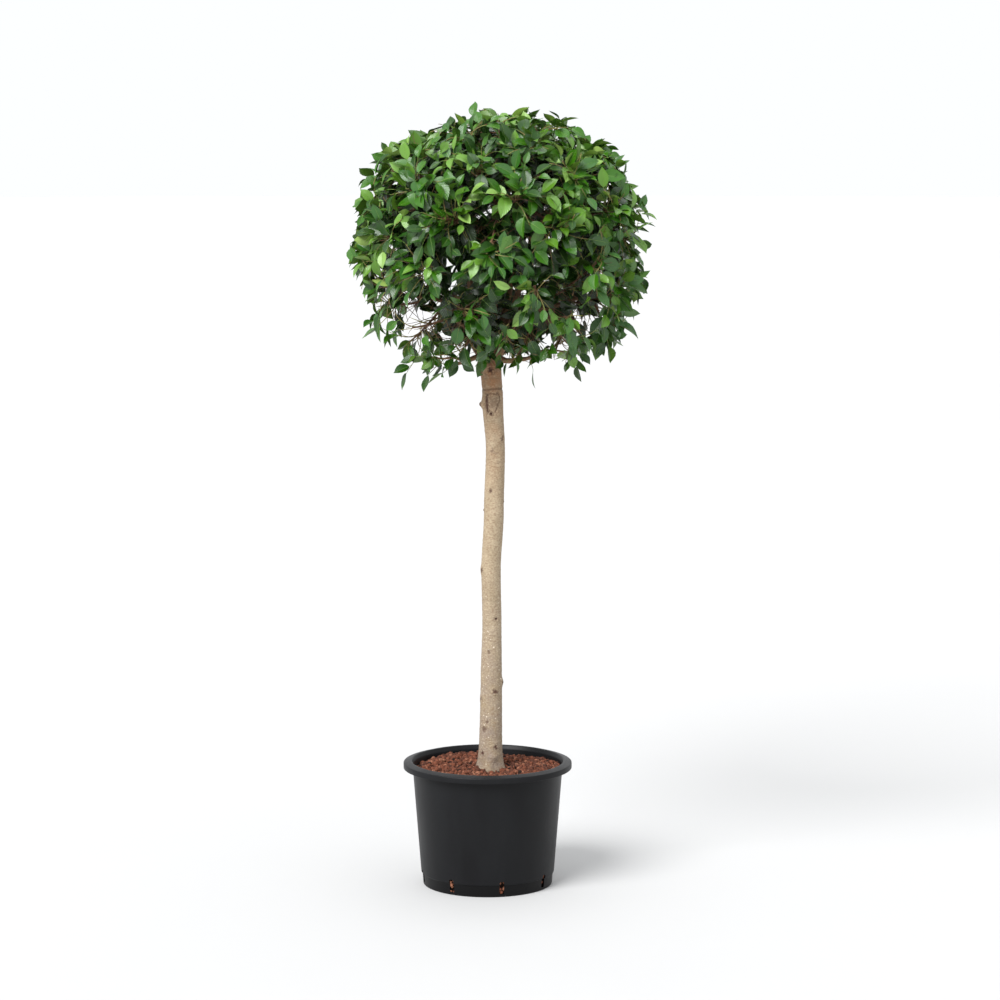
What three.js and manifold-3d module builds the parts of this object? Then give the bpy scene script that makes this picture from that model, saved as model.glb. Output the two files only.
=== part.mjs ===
// Standard lollipop topiary: a clipped ball head on a clear stem, in a round nursery pot
// filled with lava granules. Units are millimetres and +Z is up. The origin is the centre
// of the pot's flat underside, and the front of the plant faces -Y.

import * as THREE from 'three';
import { mergeVertices } from 'three/addons/utils/BufferGeometryUtils.js';
import Module from 'manifold-3d';

const wasm = await Module();
wasm.setup();

const DEG = Math.PI / 180;
const GOLDEN_TURN = 137.508 * DEG;
const CLEARANCE = 0.3;
const SEED = 7;

// Driving dimensions of the pot
const POT_HEIGHT = 318;
const POT_FOOT_RADIUS = 167;
const POT_TOP_RADIUS = 192;
const POT_WALL = 3.5;
const POT_FLOOR = 4;
const POT_SIDES = 40;
const RIM_RADIUS = 214;
const RIM_DROP = 5;
const SKIRT_HEIGHT = 19;
const SKIRT_WALL = 3;
const FOOT_BAND = { height: 31, inset: 1.2 };
const SLOTS = { count: 8, width: 12, height: 33, foot: 7, firstTurn: 12.5 * DEG };

// Driving dimensions of the granule fill
const GROUND = 302;
const FILL = { seatRadius: 46, roughness: 3, edgeDip: 7 };

// Driving dimensions of the stem: its lean at some heights, and its radius there
const STEM_TOP = 1414;
const STEM_COURSE = [
  { z: GROUND, x: 7.5, y: 0, radius: 28.8 },
  { z: 530, x: 9.5, y: 4, radius: 26.8 },
  { z: 670, x: 11, y: 1, radius: 24.8 },
  { z: 805, x: 9, y: -3, radius: 24.8 },
  { z: 955, x: 16, y: 1, radius: 24.6 },
  { z: 1110, x: 20, y: 4, radius: 23.8 },
  { z: 1230, x: 13.5, y: 1, radius: 26.4 },
  { z: 1320, x: 9, y: 0, radius: 26.6 },
  { z: 1370, x: 9, y: 0, radius: 26 },
  { z: STEM_TOP, x: 10, y: 0, radius: 21 },
];
const ROOT_FLARE = { lift: 7.5, height: 24, lobes: 5, lobeShare: 0.3 };
const COLLAR = { swell: 0.35, fade: 14 };
const STAGGER = 9;

// Knots and old cuts on the stem. turn is measured from the front towards +X.
const KNOTS = [
  { z: 1309, turn: -78 * DEG, lift: 6, spread: 9 },
  { z: 1242, turn: 8 * DEG, lift: 3.2, spread: 15 },
  { z: 1214, turn: 20 * DEG, lift: 3, spread: 13 },
  { z: 1228, turn: -72 * DEG, lift: 6.5, spread: 12 },
  { z: 1144, turn: 42 * DEG, lift: 2.5, spread: 12 },
  { z: 1111, turn: -20 * DEG, lift: 2, spread: 12 },
  { z: 806, turn: -80 * DEG, lift: 2.4, spread: 12 },
  { z: 518, turn: 84 * DEG, lift: 4, spread: 9 },
  { z: 496, turn: 21 * DEG, lift: 2, spread: 10 },
  { z: 477, turn: -68 * DEG, lift: 2, spread: 12 },
  { z: 355, turn: 24 * DEG, lift: 2, spread: 12 },
  { z: 330, turn: 18 * DEG, lift: 5, spread: 12 },
];

// Driving dimensions of the clipped head: half width, heights above and below its middle,
// and how square its shoulders are
const HEAD = { x: 31, y: 0, z: 1637, radius: 366, up: 325, down: 318, upPower: 2.2, downPower: 3 };
const HEART_RADIUS = 84;
const LEADER_TOP = 1752;
const CORE_SHARE = 0.78;
const CORE_ROUGHNESS = 0.05;
const ROOT_SHARE = 0.93;
const CORE_MARGIN = 2;
const CORE_STANDOFF = 10;
const TIP_SHARE = 1.06;
const SEAM = 1.2;

// Two storeys of boughs round a leader. A bough leaves the stem at foot and turns up to reach,
// and its foliage grows round the heart of its own part of the head, each from its own seed.
const STOREYS = [
  {
    name: 'low', count: 6, firstTurn: 32 * DEG, seeds: [12, 5, 9, 6, 2, 8],
    foot: 1334, bend: { out: 52, z: 1356 }, reach: { out: 84, z: 1438 }, heart: { out: 215, z: 1492 },
    footRadius: 11, tipRadius: 6,
  },
  {
    name: 'high', count: 5, firstTurn: 0, seeds: [10, 25, 10, 13, 2],
    foot: 1366, bend: { out: 60, z: 1412 }, reach: { out: 82, z: 1642 }, heart: { out: 205, z: 1736 },
    footRadius: 9.5, tipRadius: 6,
  },
];
const LEADER = { seed: 7, heartZ: 1845, footRadius: 12, tipRadius: 7 };

// Driving dimensions of shoots and leaves
const SHOOTS = 66;
const SHOOT_SHARE = 0.87;
const SHOOT_UNEVENNESS = 0.03;
const LEAVES_PER_SHOOT = 4;
const CORE_LEAVES = 270;
const HEART_WANDER = 16;
const SHOOT_RADIUS = { foot: 4.2, tip: 2.4 };
const LEAF = {
  length: 104, width: 60, thickness: 4.4, widest: 0.58, thickest: 0.54,
  fold: 5, arch: 9, droop: 0.2, sunk: 1.2, tries: 9,
};
const LEAF_PITCH = 13;
const LIMB_MARGIN = 6;
const SHOOT_MARGIN = 12;
const LEAF_ROOT_MARGIN = 8;
const LEAD = { run: 45, taper: 0.3, sides: 7, rings: 4 };
const SHOOT_FORK = { share: 0.3, middle: 0.65, sag: 10 };

// A leaf is joined at the first of these tolerances that leaves no face thinner than FACE_HEIGHT
const JOIN_TOLERANCES = [0.05, 0.2, 0.5, 1];
const FACE_HEIGHT = 0.02;

function seededRandom(seed) {
  let state = seed >>> 0;
  return () => {
    state = (state + 0x6d2b79f5) >>> 0;
    let t = state;
    t = Math.imul(t ^ (t >>> 15), t | 1);
    t ^= t + Math.imul(t ^ (t >>> 7), t | 61);
    return ((t ^ (t >>> 14)) >>> 0) / 4294967296;
  };
}

// A three.js geometry as a solid: only positions are kept, and shared vertices are merged.
function toSolid(geometry) {
  const bare = geometry.clone();
  bare.deleteAttribute('normal');
  bare.deleteAttribute('uv');
  const merged = mergeVertices(bare, 1e-3);
  return new wasm.Manifold(new wasm.Mesh({
    numProp: 3,
    vertProperties: Float32Array.from(merged.attributes.position.array),
    triVerts: Uint32Array.from(merged.index.array),
  }));
}

function toGeometry(solid) {
  const mesh = solid.getMesh();
  const geometry = new THREE.BufferGeometry();
  geometry.setAttribute('position', new THREE.BufferAttribute(mesh.vertProperties, 3));
  geometry.setIndex(new THREE.BufferAttribute(mesh.triVerts, 1));
  return geometry;
}

// The largest body of a solid: sealed hollows are filled and loose scraps are dropped.
function mainBody(solid) {
  return solid.decompose().reduce((best, body) => (body.volume() > best.volume() ? body : best));
}

// Whether each edge has two faces once vertices that lie together are one, and no face is a sliver.
function isSound(solid) {
  const { vertProperties, triVerts } = solid.getMesh();
  const corners = Array.from(
    { length: vertProperties.length / 3 },
    (_, i) => new THREE.Vector3().fromArray(vertProperties, 3 * i),
  );
  const places = corners.map((corner) => corner.toArray().map((value) => Math.round(value * 1000)).join());
  const face = new THREE.Triangle();
  const uses = new Map();
  for (let i = 0; i < triVerts.length; i += 3) {
    const turn = [triVerts[i], triVerts[i + 1], triVerts[i + 2]];
    face.set(...turn.map((corner) => corners[corner]));
    const longest = Math.max(face.a.distanceTo(face.b), face.b.distanceTo(face.c), face.c.distanceTo(face.a));
    if (2 * face.getArea() < FACE_HEIGHT * longest) return false;
    turn.forEach((corner, step) => {
      const edge = [places[corner], places[turn[(step + 1) % 3]]].sort().join('/');
      uses.set(edge, (uses.get(edge) ?? 0) + 1);
    });
  }
  return [...uses.values()].every((count) => count === 2);
}

// Two solids as one body at the first tolerance that gives a sound join, or null.
function soundJoin(mass, piece) {
  for (const tolerance of JOIN_TOLERANCES) {
    const joined = mainBody(mass.add(piece).simplify(tolerance));
    if (isSound(joined)) return joined;
  }
  return null;
}

// The direction at a turn measured from the front (-Y) towards +X.
function outward(turn) {
  return new THREE.Vector3(Math.sin(turn), -Math.cos(turn), 0);
}

// A profile of [radius, height] points turned round the Z axis.
function turned(profile, segments) {
  const points = profile.map(([radius, height]) => new THREE.Vector2(radius, height));
  return new THREE.LatheGeometry(points, segments).rotateX(90 * DEG);
}

// A closed limb along a curve: a capped cylinder whose rings are carried along the curve.
function limbGeometry(curve, radiusAt, sides, rings) {
  const geometry = new THREE.CylinderGeometry(1, 1, 1, sides, rings);
  const frames = curve.computeFrenetFrames(rings, false);
  const position = geometry.attributes.position;
  const point = new THREE.Vector3();
  for (let i = 0; i < position.count; i++) {
    const share = position.getY(i) + 0.5;
    const ring = Math.round(share * rings);
    const radius = radiusAt(share);
    curve.getPointAt(share, point);
    point.addScaledVector(frames.normals[ring], position.getX(i) * radius);
    point.addScaledVector(frames.binormals[ring], -position.getZ(i) * radius);
    position.setXYZ(i, point.x, point.y, point.z);
  }
  return geometry;
}

function potRadius(height) {
  return POT_FOOT_RADIUS + (POT_TOP_RADIUS - POT_FOOT_RADIUS) * (height / POT_HEIGHT);
}

// The pot: a tapered shell with a flat floor, a recessed foot band and a turned-over rim.
function potSolid() {
  const band = FOOT_BAND;
  const lipEdge = POT_HEIGHT - RIM_DROP;
  const skirtFoot = POT_HEIGHT - SKIRT_HEIGHT;
  const skirtInside = RIM_RADIUS - SKIRT_WALL;
  const profile = [
    [0, 0],
    [potRadius(0) - band.inset - 1.5, 0],
    [potRadius(1.5) - band.inset, 1.5],
    [potRadius(band.height - 1) - band.inset, band.height - 1],
    [potRadius(band.height), band.height],
    [potRadius(lipEdge - SKIRT_WALL), lipEdge - SKIRT_WALL],
    [skirtInside - 1.5, lipEdge - SKIRT_WALL - 2],
    [skirtInside, skirtFoot],
    [RIM_RADIUS - 0.5, skirtFoot],
    [RIM_RADIUS, lipEdge - 2],
    [RIM_RADIUS - 3, lipEdge],
    [POT_TOP_RADIUS + 2, POT_HEIGHT],
    [POT_TOP_RADIUS - POT_WALL + 1, POT_HEIGHT - 0.6],
    [potRadius(lipEdge) - POT_WALL, lipEdge],
    [potRadius(POT_FLOOR) - POT_WALL, POT_FLOOR],
    [0, POT_FLOOR],
  ];
  return toSolid(turned(profile, POT_SIDES)).subtract(slotCutter());
}

// The drain slots: upright plates with clipped corners that pass through the wall.
function slotCutter() {
  const corner = 2.5;
  const halfWidth = SLOTS.width / 2;
  const outline = new THREE.Shape([
    new THREE.Vector2(-halfWidth + corner, 0),
    new THREE.Vector2(halfWidth - corner, 0),
    new THREE.Vector2(halfWidth, corner),
    new THREE.Vector2(halfWidth, SLOTS.height - corner),
    new THREE.Vector2(halfWidth - corner, SLOTS.height),
    new THREE.Vector2(-halfWidth + corner, SLOTS.height),
    new THREE.Vector2(-halfWidth, SLOTS.height - corner),
    new THREE.Vector2(-halfWidth, corner),
  ]);
  const depth = 24;
  let cutter = null;
  for (let i = 0; i < SLOTS.count; i++) {
    const turn = SLOTS.firstTurn + (i * 2 * Math.PI) / SLOTS.count;
    const plate = new THREE.ExtrudeGeometry(outline, { depth, bevelEnabled: false });
    plate.rotateX(90 * DEG);
    plate.translate(0, -potRadius(SLOTS.foot) + depth / 2, SLOTS.foot);
    plate.rotateZ(turn);
    const solid = toSolid(plate);
    cutter = cutter ? cutter.add(solid) : solid;
  }
  return cutter;
}

// The granule fill: a plug inside the pot whose top is uneven, dips at the wall and is
// level where the stem stands.
function fillGeometry() {
  const bottom = POT_FLOOR + CLEARANCE;
  const seat = GROUND - CLEARANCE;
  const inside = (height) => potRadius(height) - POT_WALL - CLEARANCE;
  const edge = GROUND - FILL.edgeDip;
  const rings = [148, 112, 76];
  const profile = [[0, bottom], [inside(bottom), bottom], [inside(edge), edge]];
  rings.forEach((radius) => profile.push([radius, seat]));
  profile.push([FILL.seatRadius, seat], [0, seat]);
  const geometry = turned(profile, POT_SIDES);
  const position = geometry.attributes.position;
  for (let i = 0; i < position.count; i++) {
    const x = position.getX(i);
    const y = position.getY(i);
    const radius = Math.hypot(x, y);
    if (radius < FILL.seatRadius + 1 || radius > rings[0] + 1) continue;
    const wave = Math.sin(x * 0.071 + 1.3) * Math.cos(y * 0.083 - 0.4) + 0.6 * Math.sin((x - y) * 0.14);
    position.setZ(i, position.getZ(i) + FILL.roughness * wave * Math.min(1, (radius - FILL.seatRadius) / 20));
  }
  return geometry;
}

// The stem's middle and radius at a height, smoothly between the named heights.
function stemAt(z) {
  const last = STEM_COURSE.length - 1;
  let i = 0;
  while (i < last - 1 && z > STEM_COURSE[i + 1].z) i++;
  const from = STEM_COURSE[i];
  const to = STEM_COURSE[i + 1];
  const share = THREE.MathUtils.smoothstep(z, from.z, to.z);
  return {
    x: THREE.MathUtils.lerp(from.x, to.x, share),
    y: THREE.MathUtils.lerp(from.y, to.y, share),
    radius: THREE.MathUtils.lerp(from.radius, to.radius, share),
  };
}

// The stem's radius at a turn and height, with its root flare, knots and rounded head.
function stemRadius(turn, z) {
  const flare = ROOT_FLARE;
  const lobes = 1 + flare.lobeShare * Math.cos(flare.lobes * turn + 0.6);
  let radius = stemAt(z).radius + flare.lift * Math.exp(-(z - GROUND) / flare.height) * lobes;
  radius += 0.5 * Math.sin(2 * turn + z * 0.011);
  for (const knot of KNOTS) {
    const across = radius * Math.atan2(Math.sin(turn - knot.turn), Math.cos(turn - knot.turn));
    radius += knot.lift * Math.exp(-(across ** 2 + (z - knot.z) ** 2) / knot.spread ** 2);
  }
  const shoulder = THREE.MathUtils.smoothstep(z, STEM_TOP - 14, STEM_TOP);
  return radius - 4 * shoulder * shoulder;
}

// The stem as level rings, closer together at the foot and the head. grow thickens it.
function stemGeometry(grow = 0) {
  const sides = 16;
  const rings = 38;
  const gather = 0.6;
  const geometry = new THREE.CylinderGeometry(1, 1, 1, sides, rings).rotateX(90 * DEG);
  const position = geometry.attributes.position;
  for (let i = 0; i < position.count; i++) {
    const share = position.getZ(i) + 0.5;
    const eased = share - (gather * Math.sin(2 * Math.PI * share)) / (2 * Math.PI);
    const height = THREE.MathUtils.lerp(GROUND, STEM_TOP, eased);
    const middle = stemAt(height);
    const x = position.getX(i);
    const y = position.getY(i);
    const reach = Math.hypot(x, y) < 1e-6 ? 0 : stemRadius(Math.atan2(x, -y), height) + grow;
    const lift = share > 0.999 ? grow : 0;
    position.setXYZ(i, middle.x + x * reach, middle.y + y * reach, height + lift);
  }
  return geometry;
}

// A point at a turn, a distance out from a middle line, and a height.
function placed(middle, turn, out, z) {
  const point = outward(turn).multiplyScalar(out);
  return new THREE.Vector3(middle.x + point.x, middle.y + point.y, z);
}

// The list of boughs: each has its curve, its radii and the heart of its foliage.
function planBoughs() {
  const plans = [];
  const random = seededRandom(SEED);
  const wander = () => HEART_WANDER * (2 * random() - 1);
  const head = { x: HEAD.x, y: HEAD.y };
  for (const storey of STOREYS) {
    for (let i = 0; i < storey.count; i++) {
      const turn = storey.firstTurn + (i * 2 * Math.PI) / storey.count;
      const stagger = (i % 2) * STAGGER;
      const foot = stemAt(storey.foot + stagger);
      plans.push({
        bough: `bough_${storey.name}_${i + 1}`,
        foliage: `foliage_${storey.name}_${i + 1}`,
        seed: storey.seeds[i],
        turn,
        heart: placed(head, turn, storey.heart.out + wander(), storey.heart.z + wander()),
        footRadius: storey.footRadius,
        tipRadius: storey.tipRadius,
        curve: new THREE.QuadraticBezierCurve3(
          new THREE.Vector3(foot.x, foot.y, storey.foot + stagger),
          placed(foot, turn, storey.bend.out, storey.bend.z + stagger),
          placed(head, turn, storey.reach.out, storey.reach.z),
        ),
      });
    }
  }
  const top = stemAt(STEM_TOP);
  plans.push({
    bough: 'leader',
    foliage: 'foliage_top',
    seed: LEADER.seed,
    turn: null,
    heart: new THREE.Vector3(HEAD.x, HEAD.y, LEADER.heartZ),
    footRadius: LEADER.footRadius,
    tipRadius: LEADER.tipRadius,
    curve: new THREE.CatmullRomCurve3([
      new THREE.Vector3(top.x, top.y, STEM_TOP - 15),
      new THREE.Vector3(top.x + 2, top.y + 1, STEM_TOP + 90),
      new THREE.Vector3(top.x + 13, top.y - 5, STEM_TOP + 240),
      new THREE.Vector3(HEAD.x, HEAD.y, LEADER_TOP),
    ]),
  });
  return plans;
}

// A bough swells at its foot, as a collar, and tapers to its tip.
function boughRadius(plan, share) {
  const collar = 1 + COLLAR.swell * Math.exp(-share * COLLAR.fade);
  return THREE.MathUtils.lerp(plan.footRadius, plan.tipRadius, share) * collar;
}

function boughSolids(plans) {
  const stem = toSolid(stemGeometry(CLEARANCE));
  return plans.map((plan) => {
    const limb = toSolid(limbGeometry(plan.curve, (share) => boughRadius(plan, share), 7, 5));
    return mainBody(limb.subtract(stem));
  });
}

// How far out a point of the head lies: 0 at its middle and 1 on its clipped outline.
function headShare(point) {
  const power = point.z > HEAD.z ? HEAD.upPower : HEAD.downPower;
  const height = (point.z - HEAD.z) / (point.z > HEAD.z ? HEAD.up : HEAD.down);
  const out = Math.hypot(point.x - HEAD.x, point.y - HEAD.y) / HEAD.radius;
  return (out ** power + Math.abs(height) ** power) ** (1 / power);
}

// The planes round one mass's own part of the head: half way to each other heart, and
// clear of the open middle that the boughs rise through, by a standoff where one is given.
function partPlanes(plan, plans, standoff = 0) {
  const planes = plans.filter((other) => other !== plan).map((other) => {
    const away = other.heart.clone().sub(plan.heart);
    const middle = plan.heart.clone().addScaledVector(away, 0.5);
    return new THREE.Plane().setFromNormalAndCoplanarPoint(away.normalize(), middle);
  });
  if (plan.turn === null) {
    planes.push(new THREE.Plane(new THREE.Vector3(0, 0, -1), LEADER_TOP + standoff));
  } else {
    const inward = outward(plan.turn).negate();
    const wall = placed(HEAD, plan.turn, HEART_RADIUS + standoff, 0);
    planes.push(new THREE.Plane().setFromNormalAndCoplanarPoint(inward, wall));
  }
  return planes;
}

function insidePart(point, planes, margin) {
  return planes.every((plane) => plane.distanceToPoint(point) < -margin);
}

// The farthest point from a start along a direction that is still inside a part of the head.
function reachInPart(start, direction, planes, share, margin) {
  let near = 0;
  let far = 2 * HEAD.radius;
  const point = new THREE.Vector3();
  for (let step = 0; step < 30; step++) {
    const middle = (near + far) / 2;
    point.copy(start).addScaledVector(direction, middle);
    if (insidePart(point, planes, margin) && headShare(point) < share) near = middle;
    else far = middle;
  }
  return near;
}

// The dense inside of a mass: a ball that fills the inner share of its part of the head.
function coreGeometry(plan, plans) {
  const planes = partPlanes(plan, plans, CORE_STANDOFF);
  const geometry = new THREE.IcosahedronGeometry(1, 2);
  const position = geometry.attributes.position;
  const direction = new THREE.Vector3();
  for (let i = 0; i < position.count; i++) {
    direction.fromBufferAttribute(position, i).normalize();
    const wave = Math.sin(23 * direction.x + 5) * Math.sin(27 * direction.y - 2) * Math.cos(25 * direction.z);
    const bump = 1 - CORE_ROUGHNESS * (0.5 + 0.5 * wave);
    const reach = bump * reachInPart(plan.heart, direction, planes, CORE_SHARE, CORE_MARGIN);
    position.setXYZ(
      i,
      plan.heart.x + direction.x * reach,
      plan.heart.y + direction.y * reach,
      plan.heart.z + direction.z * reach,
    );
  }
  return geometry;
}

// One leaf of eight faces: a folded, arched blade from its root to its tip.
function leafGeometry(root, along, side, scale) {
  const up = new THREE.Vector3().crossVectors(side, along).normalize();
  const length = LEAF.length * scale;
  const at = (share, across, lift) => root.clone()
    .addScaledVector(along, share * length)
    .addScaledVector(side, across * scale)
    .addScaledVector(up, lift * scale);
  const half = LEAF.width / 2;
  const corners = [
    at(0, 0, 0),
    at(LEAF.widest, half, LEAF.fold),
    at(LEAF.thickest, 0, LEAF.thickness / 2),
    at(LEAF.widest, -half, LEAF.fold),
    at(LEAF.thickest, 0, -LEAF.thickness / 2),
    at(1, 0, -LEAF.arch),
  ];
  const faces = [
    [0, 2, 1], [0, 3, 2], [0, 4, 3], [0, 1, 4],
    [5, 1, 2], [5, 2, 3], [5, 3, 4], [5, 4, 1],
  ];
  const geometry = new THREE.BufferGeometry().setFromPoints(corners);
  geometry.setIndex(faces.flat());
  return geometry;
}

// Whether every corner of a geometry stays in its mass's own space and clear of the limbs.
function keepsItsPlace(geometry, planes, limbPoints) {
  const position = geometry.attributes.position;
  const point = new THREE.Vector3();
  for (let i = 0; i < position.count; i++) {
    point.fromBufferAttribute(position, i);
    if (!insidePart(point, planes, SEAM / 2) || headShare(point) > TIP_SHARE) return false;
    if (limbPoints.some((limb) => limb.point.distanceTo(point) < limb.radius + LIMB_MARGIN)) return false;
  }
  return true;
}

// Points along the stem and boughs, which leaves and shoots keep away from.
function limbPointsOf(plans) {
  const points = [];
  for (const plan of plans) {
    for (let i = 0; i <= 12; i++) {
      points.push({ point: plan.curve.getPointAt(i / 12), radius: boughRadius(plan, i / 12) });
    }
  }
  for (let z = GROUND; z <= STEM_TOP; z += 15) {
    const middle = stemAt(z);
    points.push({ point: new THREE.Vector3(middle.x, middle.y, z), radius: middle.radius });
  }
  return points;
}

// Points spread evenly over the whole head by the golden turn, at a share of its outline.
function spreadOverHead(total, shareAt) {
  const middle = new THREE.Vector3(HEAD.x, HEAD.y, HEAD.z);
  return Array.from({ length: total }, (_, i) => {
    const height = 1 - (2 * (i + 0.5)) / total;
    const flat = Math.sqrt(1 - height * height);
    const direction = outward(i * GOLDEN_TURN).multiplyScalar(flat).setZ(height).normalize();
    const reach = shareAt(i) / headShare(middle.clone().add(direction));
    return middle.clone().addScaledVector(direction, reach);
  });
}

// A leaf at a root that opens from the forward direction, in the first turn that fits its place.
function fittingLeaf(root, forward, opening, firstTurn, planes, limbPoints, random) {
  const level = new THREE.Vector3().crossVectors(forward, new THREE.Vector3(0, 0, 1));
  if (level.length() < 0.1) level.set(1, 0, 0);
  for (let attempt = 0; attempt < LEAF.tries; attempt++) {
    const open = opening + 16 * DEG * random();
    const scale = 0.85 + 0.25 * random() - 0.03 * attempt;
    const across = level.clone().normalize().applyAxisAngle(forward, firstTurn + attempt * 80 * DEG);
    const along = forward.clone().multiplyScalar(Math.cos(open)).addScaledVector(across, Math.sin(open));
    along.z -= LEAF.droop;
    along.normalize();
    const side = new THREE.Vector3().crossVectors(along, forward).normalize();
    const leaf = leafGeometry(root.clone().addScaledVector(along, -LEAF.sunk), along, side, scale);
    if (keepsItsPlace(leaf, planes, limbPoints)) return toSolid(leaf);
  }
  return null;
}

// The leaves of one shoot, one at its tip and the others in turn round its outer part.
function shootLeaves(shoot, planes, limbPoints, random) {
  const leaves = [];
  const length = shoot.getLength();
  for (let i = 0; i < LEAVES_PER_SHOOT; i++) {
    const share = 1 - (2 + i * LEAF_PITCH) / length;
    const root = shoot.getPointAt(share);
    const forward = shoot.getTangentAt(share);
    const opening = (i === 0 ? 15 : 45) * DEG;
    const leaf = fittingLeaf(root, forward, opening, i * GOLDEN_TURN, planes, limbPoints, random);
    if (leaf) leaves.push(leaf);
  }
  return leaves;
}

// The leaves that stand out of a core between the shoots, leaning all ways and drooping.
function coreLeaves(planes, limbPoints, random) {
  const roots = spreadOverHead(CORE_LEAVES, () => CORE_SHARE * ROOT_SHARE);
  const middle = new THREE.Vector3(HEAD.x, HEAD.y, HEAD.z);
  const leaves = [];
  for (const root of roots.filter((point) => insidePart(point, planes, LEAF_ROOT_MARGIN))) {
    const forward = root.clone().sub(middle).normalize();
    const leaf = fittingLeaf(root, forward, 44 * DEG, random() * 360 * DEG, planes, limbPoints, random);
    if (leaf) leaves.push(leaf);
  }
  return leaves;
}

// One mass of foliage: a stem that goes on from its bough's tip, a dense core round it,
// shoots that fork off the stem to the outline, and leaves on each shoot.
function foliageSolid(plan, plans) {
  const random = seededRandom(plan.seed);
  const planes = partPlanes(plan, plans);
  const limbPoints = limbPointsOf(plans);
  const tip = plan.curve.getPointAt(1);
  const onward = plan.curve.getTangentAt(1);
  const start = tip.clone().addScaledVector(onward, CLEARANCE);
  const bend = start.clone().addScaledVector(onward, LEAD.run);
  const stem = new THREE.QuadraticBezierCurve3(start, bend, plan.heart);
  const leadRadius = (share) => plan.tipRadius * (1 - LEAD.taper * share);
  const lead = toSolid(limbGeometry(stem, leadRadius, LEAD.sides, LEAD.rings));
  const heartwood = soundJoin(toSolid(coreGeometry(plan, plans)), lead);
  const shoots = [];
  const leaves = [];
  const ends = spreadOverHead(SHOOTS, (i) => SHOOT_SHARE + SHOOT_UNEVENNESS * Math.sin(i * 5.1));
  for (const end of ends.filter((point) => insidePart(point, planes, SHOOT_MARGIN))) {
    const fork = plan.heart.clone().lerp(end, SHOOT_FORK.share);
    const middle = plan.heart.clone().lerp(end, SHOOT_FORK.middle);
    middle.z -= SHOOT_FORK.sag;
    const shoot = new THREE.QuadraticBezierCurve3(fork, middle, end);
    const radiusAt = (share) => THREE.MathUtils.lerp(SHOOT_RADIUS.foot, SHOOT_RADIUS.tip, share);
    shoots.push(toSolid(limbGeometry(shoot, radiusAt, 3, 2)));
    leaves.push(...shootLeaves(shoot, planes, limbPoints, random));
  }
  leaves.push(...coreLeaves(planes, limbPoints, random));
  return [...shoots, ...leaves].reduce((mass, piece) => soundJoin(mass, piece) ?? mass, heartwood);
}

const materials = {
  plastic: () => new THREE.MeshStandardMaterial({ color: 0x2c2c30, roughness: 0.48, metalness: 0 }),
  granules: () => new THREE.MeshStandardMaterial({ color: 0x8a5843, roughness: 0.95, metalness: 0 }),
  bark: () => new THREE.MeshStandardMaterial({ color: 0xb9a586, roughness: 0.9, metalness: 0 }),
  youngBark: () => new THREE.MeshStandardMaterial({ color: 0x8a6a4c, roughness: 0.85, metalness: 0 }),
  leaves: () => new THREE.MeshStandardMaterial({ color: 0x4a6f28, roughness: 0.5, metalness: 0 }),
};

function node(name, geometry, material) {
  const mesh = new THREE.Mesh(geometry, material);
  mesh.name = name;
  return mesh;
}

const topiary = new THREE.Group();
topiary.add(node('pot', toGeometry(potSolid()), materials.plastic()));
topiary.add(node('granule_fill', fillGeometry(), materials.granules()));
topiary.add(node('trunk', stemGeometry(), materials.bark()));

const boughs = planBoughs();
const limbs = boughSolids(boughs);
boughs.forEach((plan, index) => {
  topiary.add(node(plan.bough, toGeometry(limbs[index]), materials.youngBark()));
  topiary.add(node(plan.foliage, toGeometry(foliageSolid(plan, boughs)), materials.leaves()));
});

export default topiary;
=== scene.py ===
"""Looks of the potted lollipop topiary: pot, granules, bark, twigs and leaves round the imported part.

Every length is in metres and every place is in the part's own frame: +Z up, the front faces -Y,
and the origin is the centre of the pot's underside. Turns are measured from the front towards +X.
"""

import math

import bmesh
import bpy
import numpy as np
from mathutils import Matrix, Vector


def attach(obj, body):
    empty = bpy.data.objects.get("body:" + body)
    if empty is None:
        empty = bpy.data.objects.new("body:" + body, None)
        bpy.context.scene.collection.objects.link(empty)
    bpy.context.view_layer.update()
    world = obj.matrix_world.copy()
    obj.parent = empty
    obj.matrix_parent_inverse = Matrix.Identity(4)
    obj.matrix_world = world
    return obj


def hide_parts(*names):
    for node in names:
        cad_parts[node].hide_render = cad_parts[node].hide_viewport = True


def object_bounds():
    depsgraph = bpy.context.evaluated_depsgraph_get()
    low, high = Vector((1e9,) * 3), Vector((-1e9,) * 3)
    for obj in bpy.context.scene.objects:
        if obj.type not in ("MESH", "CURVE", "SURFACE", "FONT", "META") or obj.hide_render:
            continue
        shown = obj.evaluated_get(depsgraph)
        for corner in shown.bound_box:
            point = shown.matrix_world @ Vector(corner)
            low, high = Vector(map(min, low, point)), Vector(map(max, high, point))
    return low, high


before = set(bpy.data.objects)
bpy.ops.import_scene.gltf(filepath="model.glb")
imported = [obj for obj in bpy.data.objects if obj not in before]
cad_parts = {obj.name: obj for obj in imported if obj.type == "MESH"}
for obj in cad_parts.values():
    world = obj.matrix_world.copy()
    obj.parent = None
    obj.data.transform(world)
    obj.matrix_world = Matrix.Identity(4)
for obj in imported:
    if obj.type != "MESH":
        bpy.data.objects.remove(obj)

CAD_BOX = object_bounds()

bl_info = {
    "name": "Lollipop Topiary",
    "version": (1, 0, 0),
    "blender": (4, 5, 0),
    "location": "View3D > Sidebar > Topiary",
    "description": "Dresses a potted lollipop topiary with bark, twigs, leaves and granules",
    "category": "Object",
}

GOLDEN_TURN = math.radians(137.508)
UP = np.array([0.0, 0.0, 1.0])
BLACK = (0.0, 0.0, 0.0)
WHITE = (1.0, 1.0, 1.0)


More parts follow.
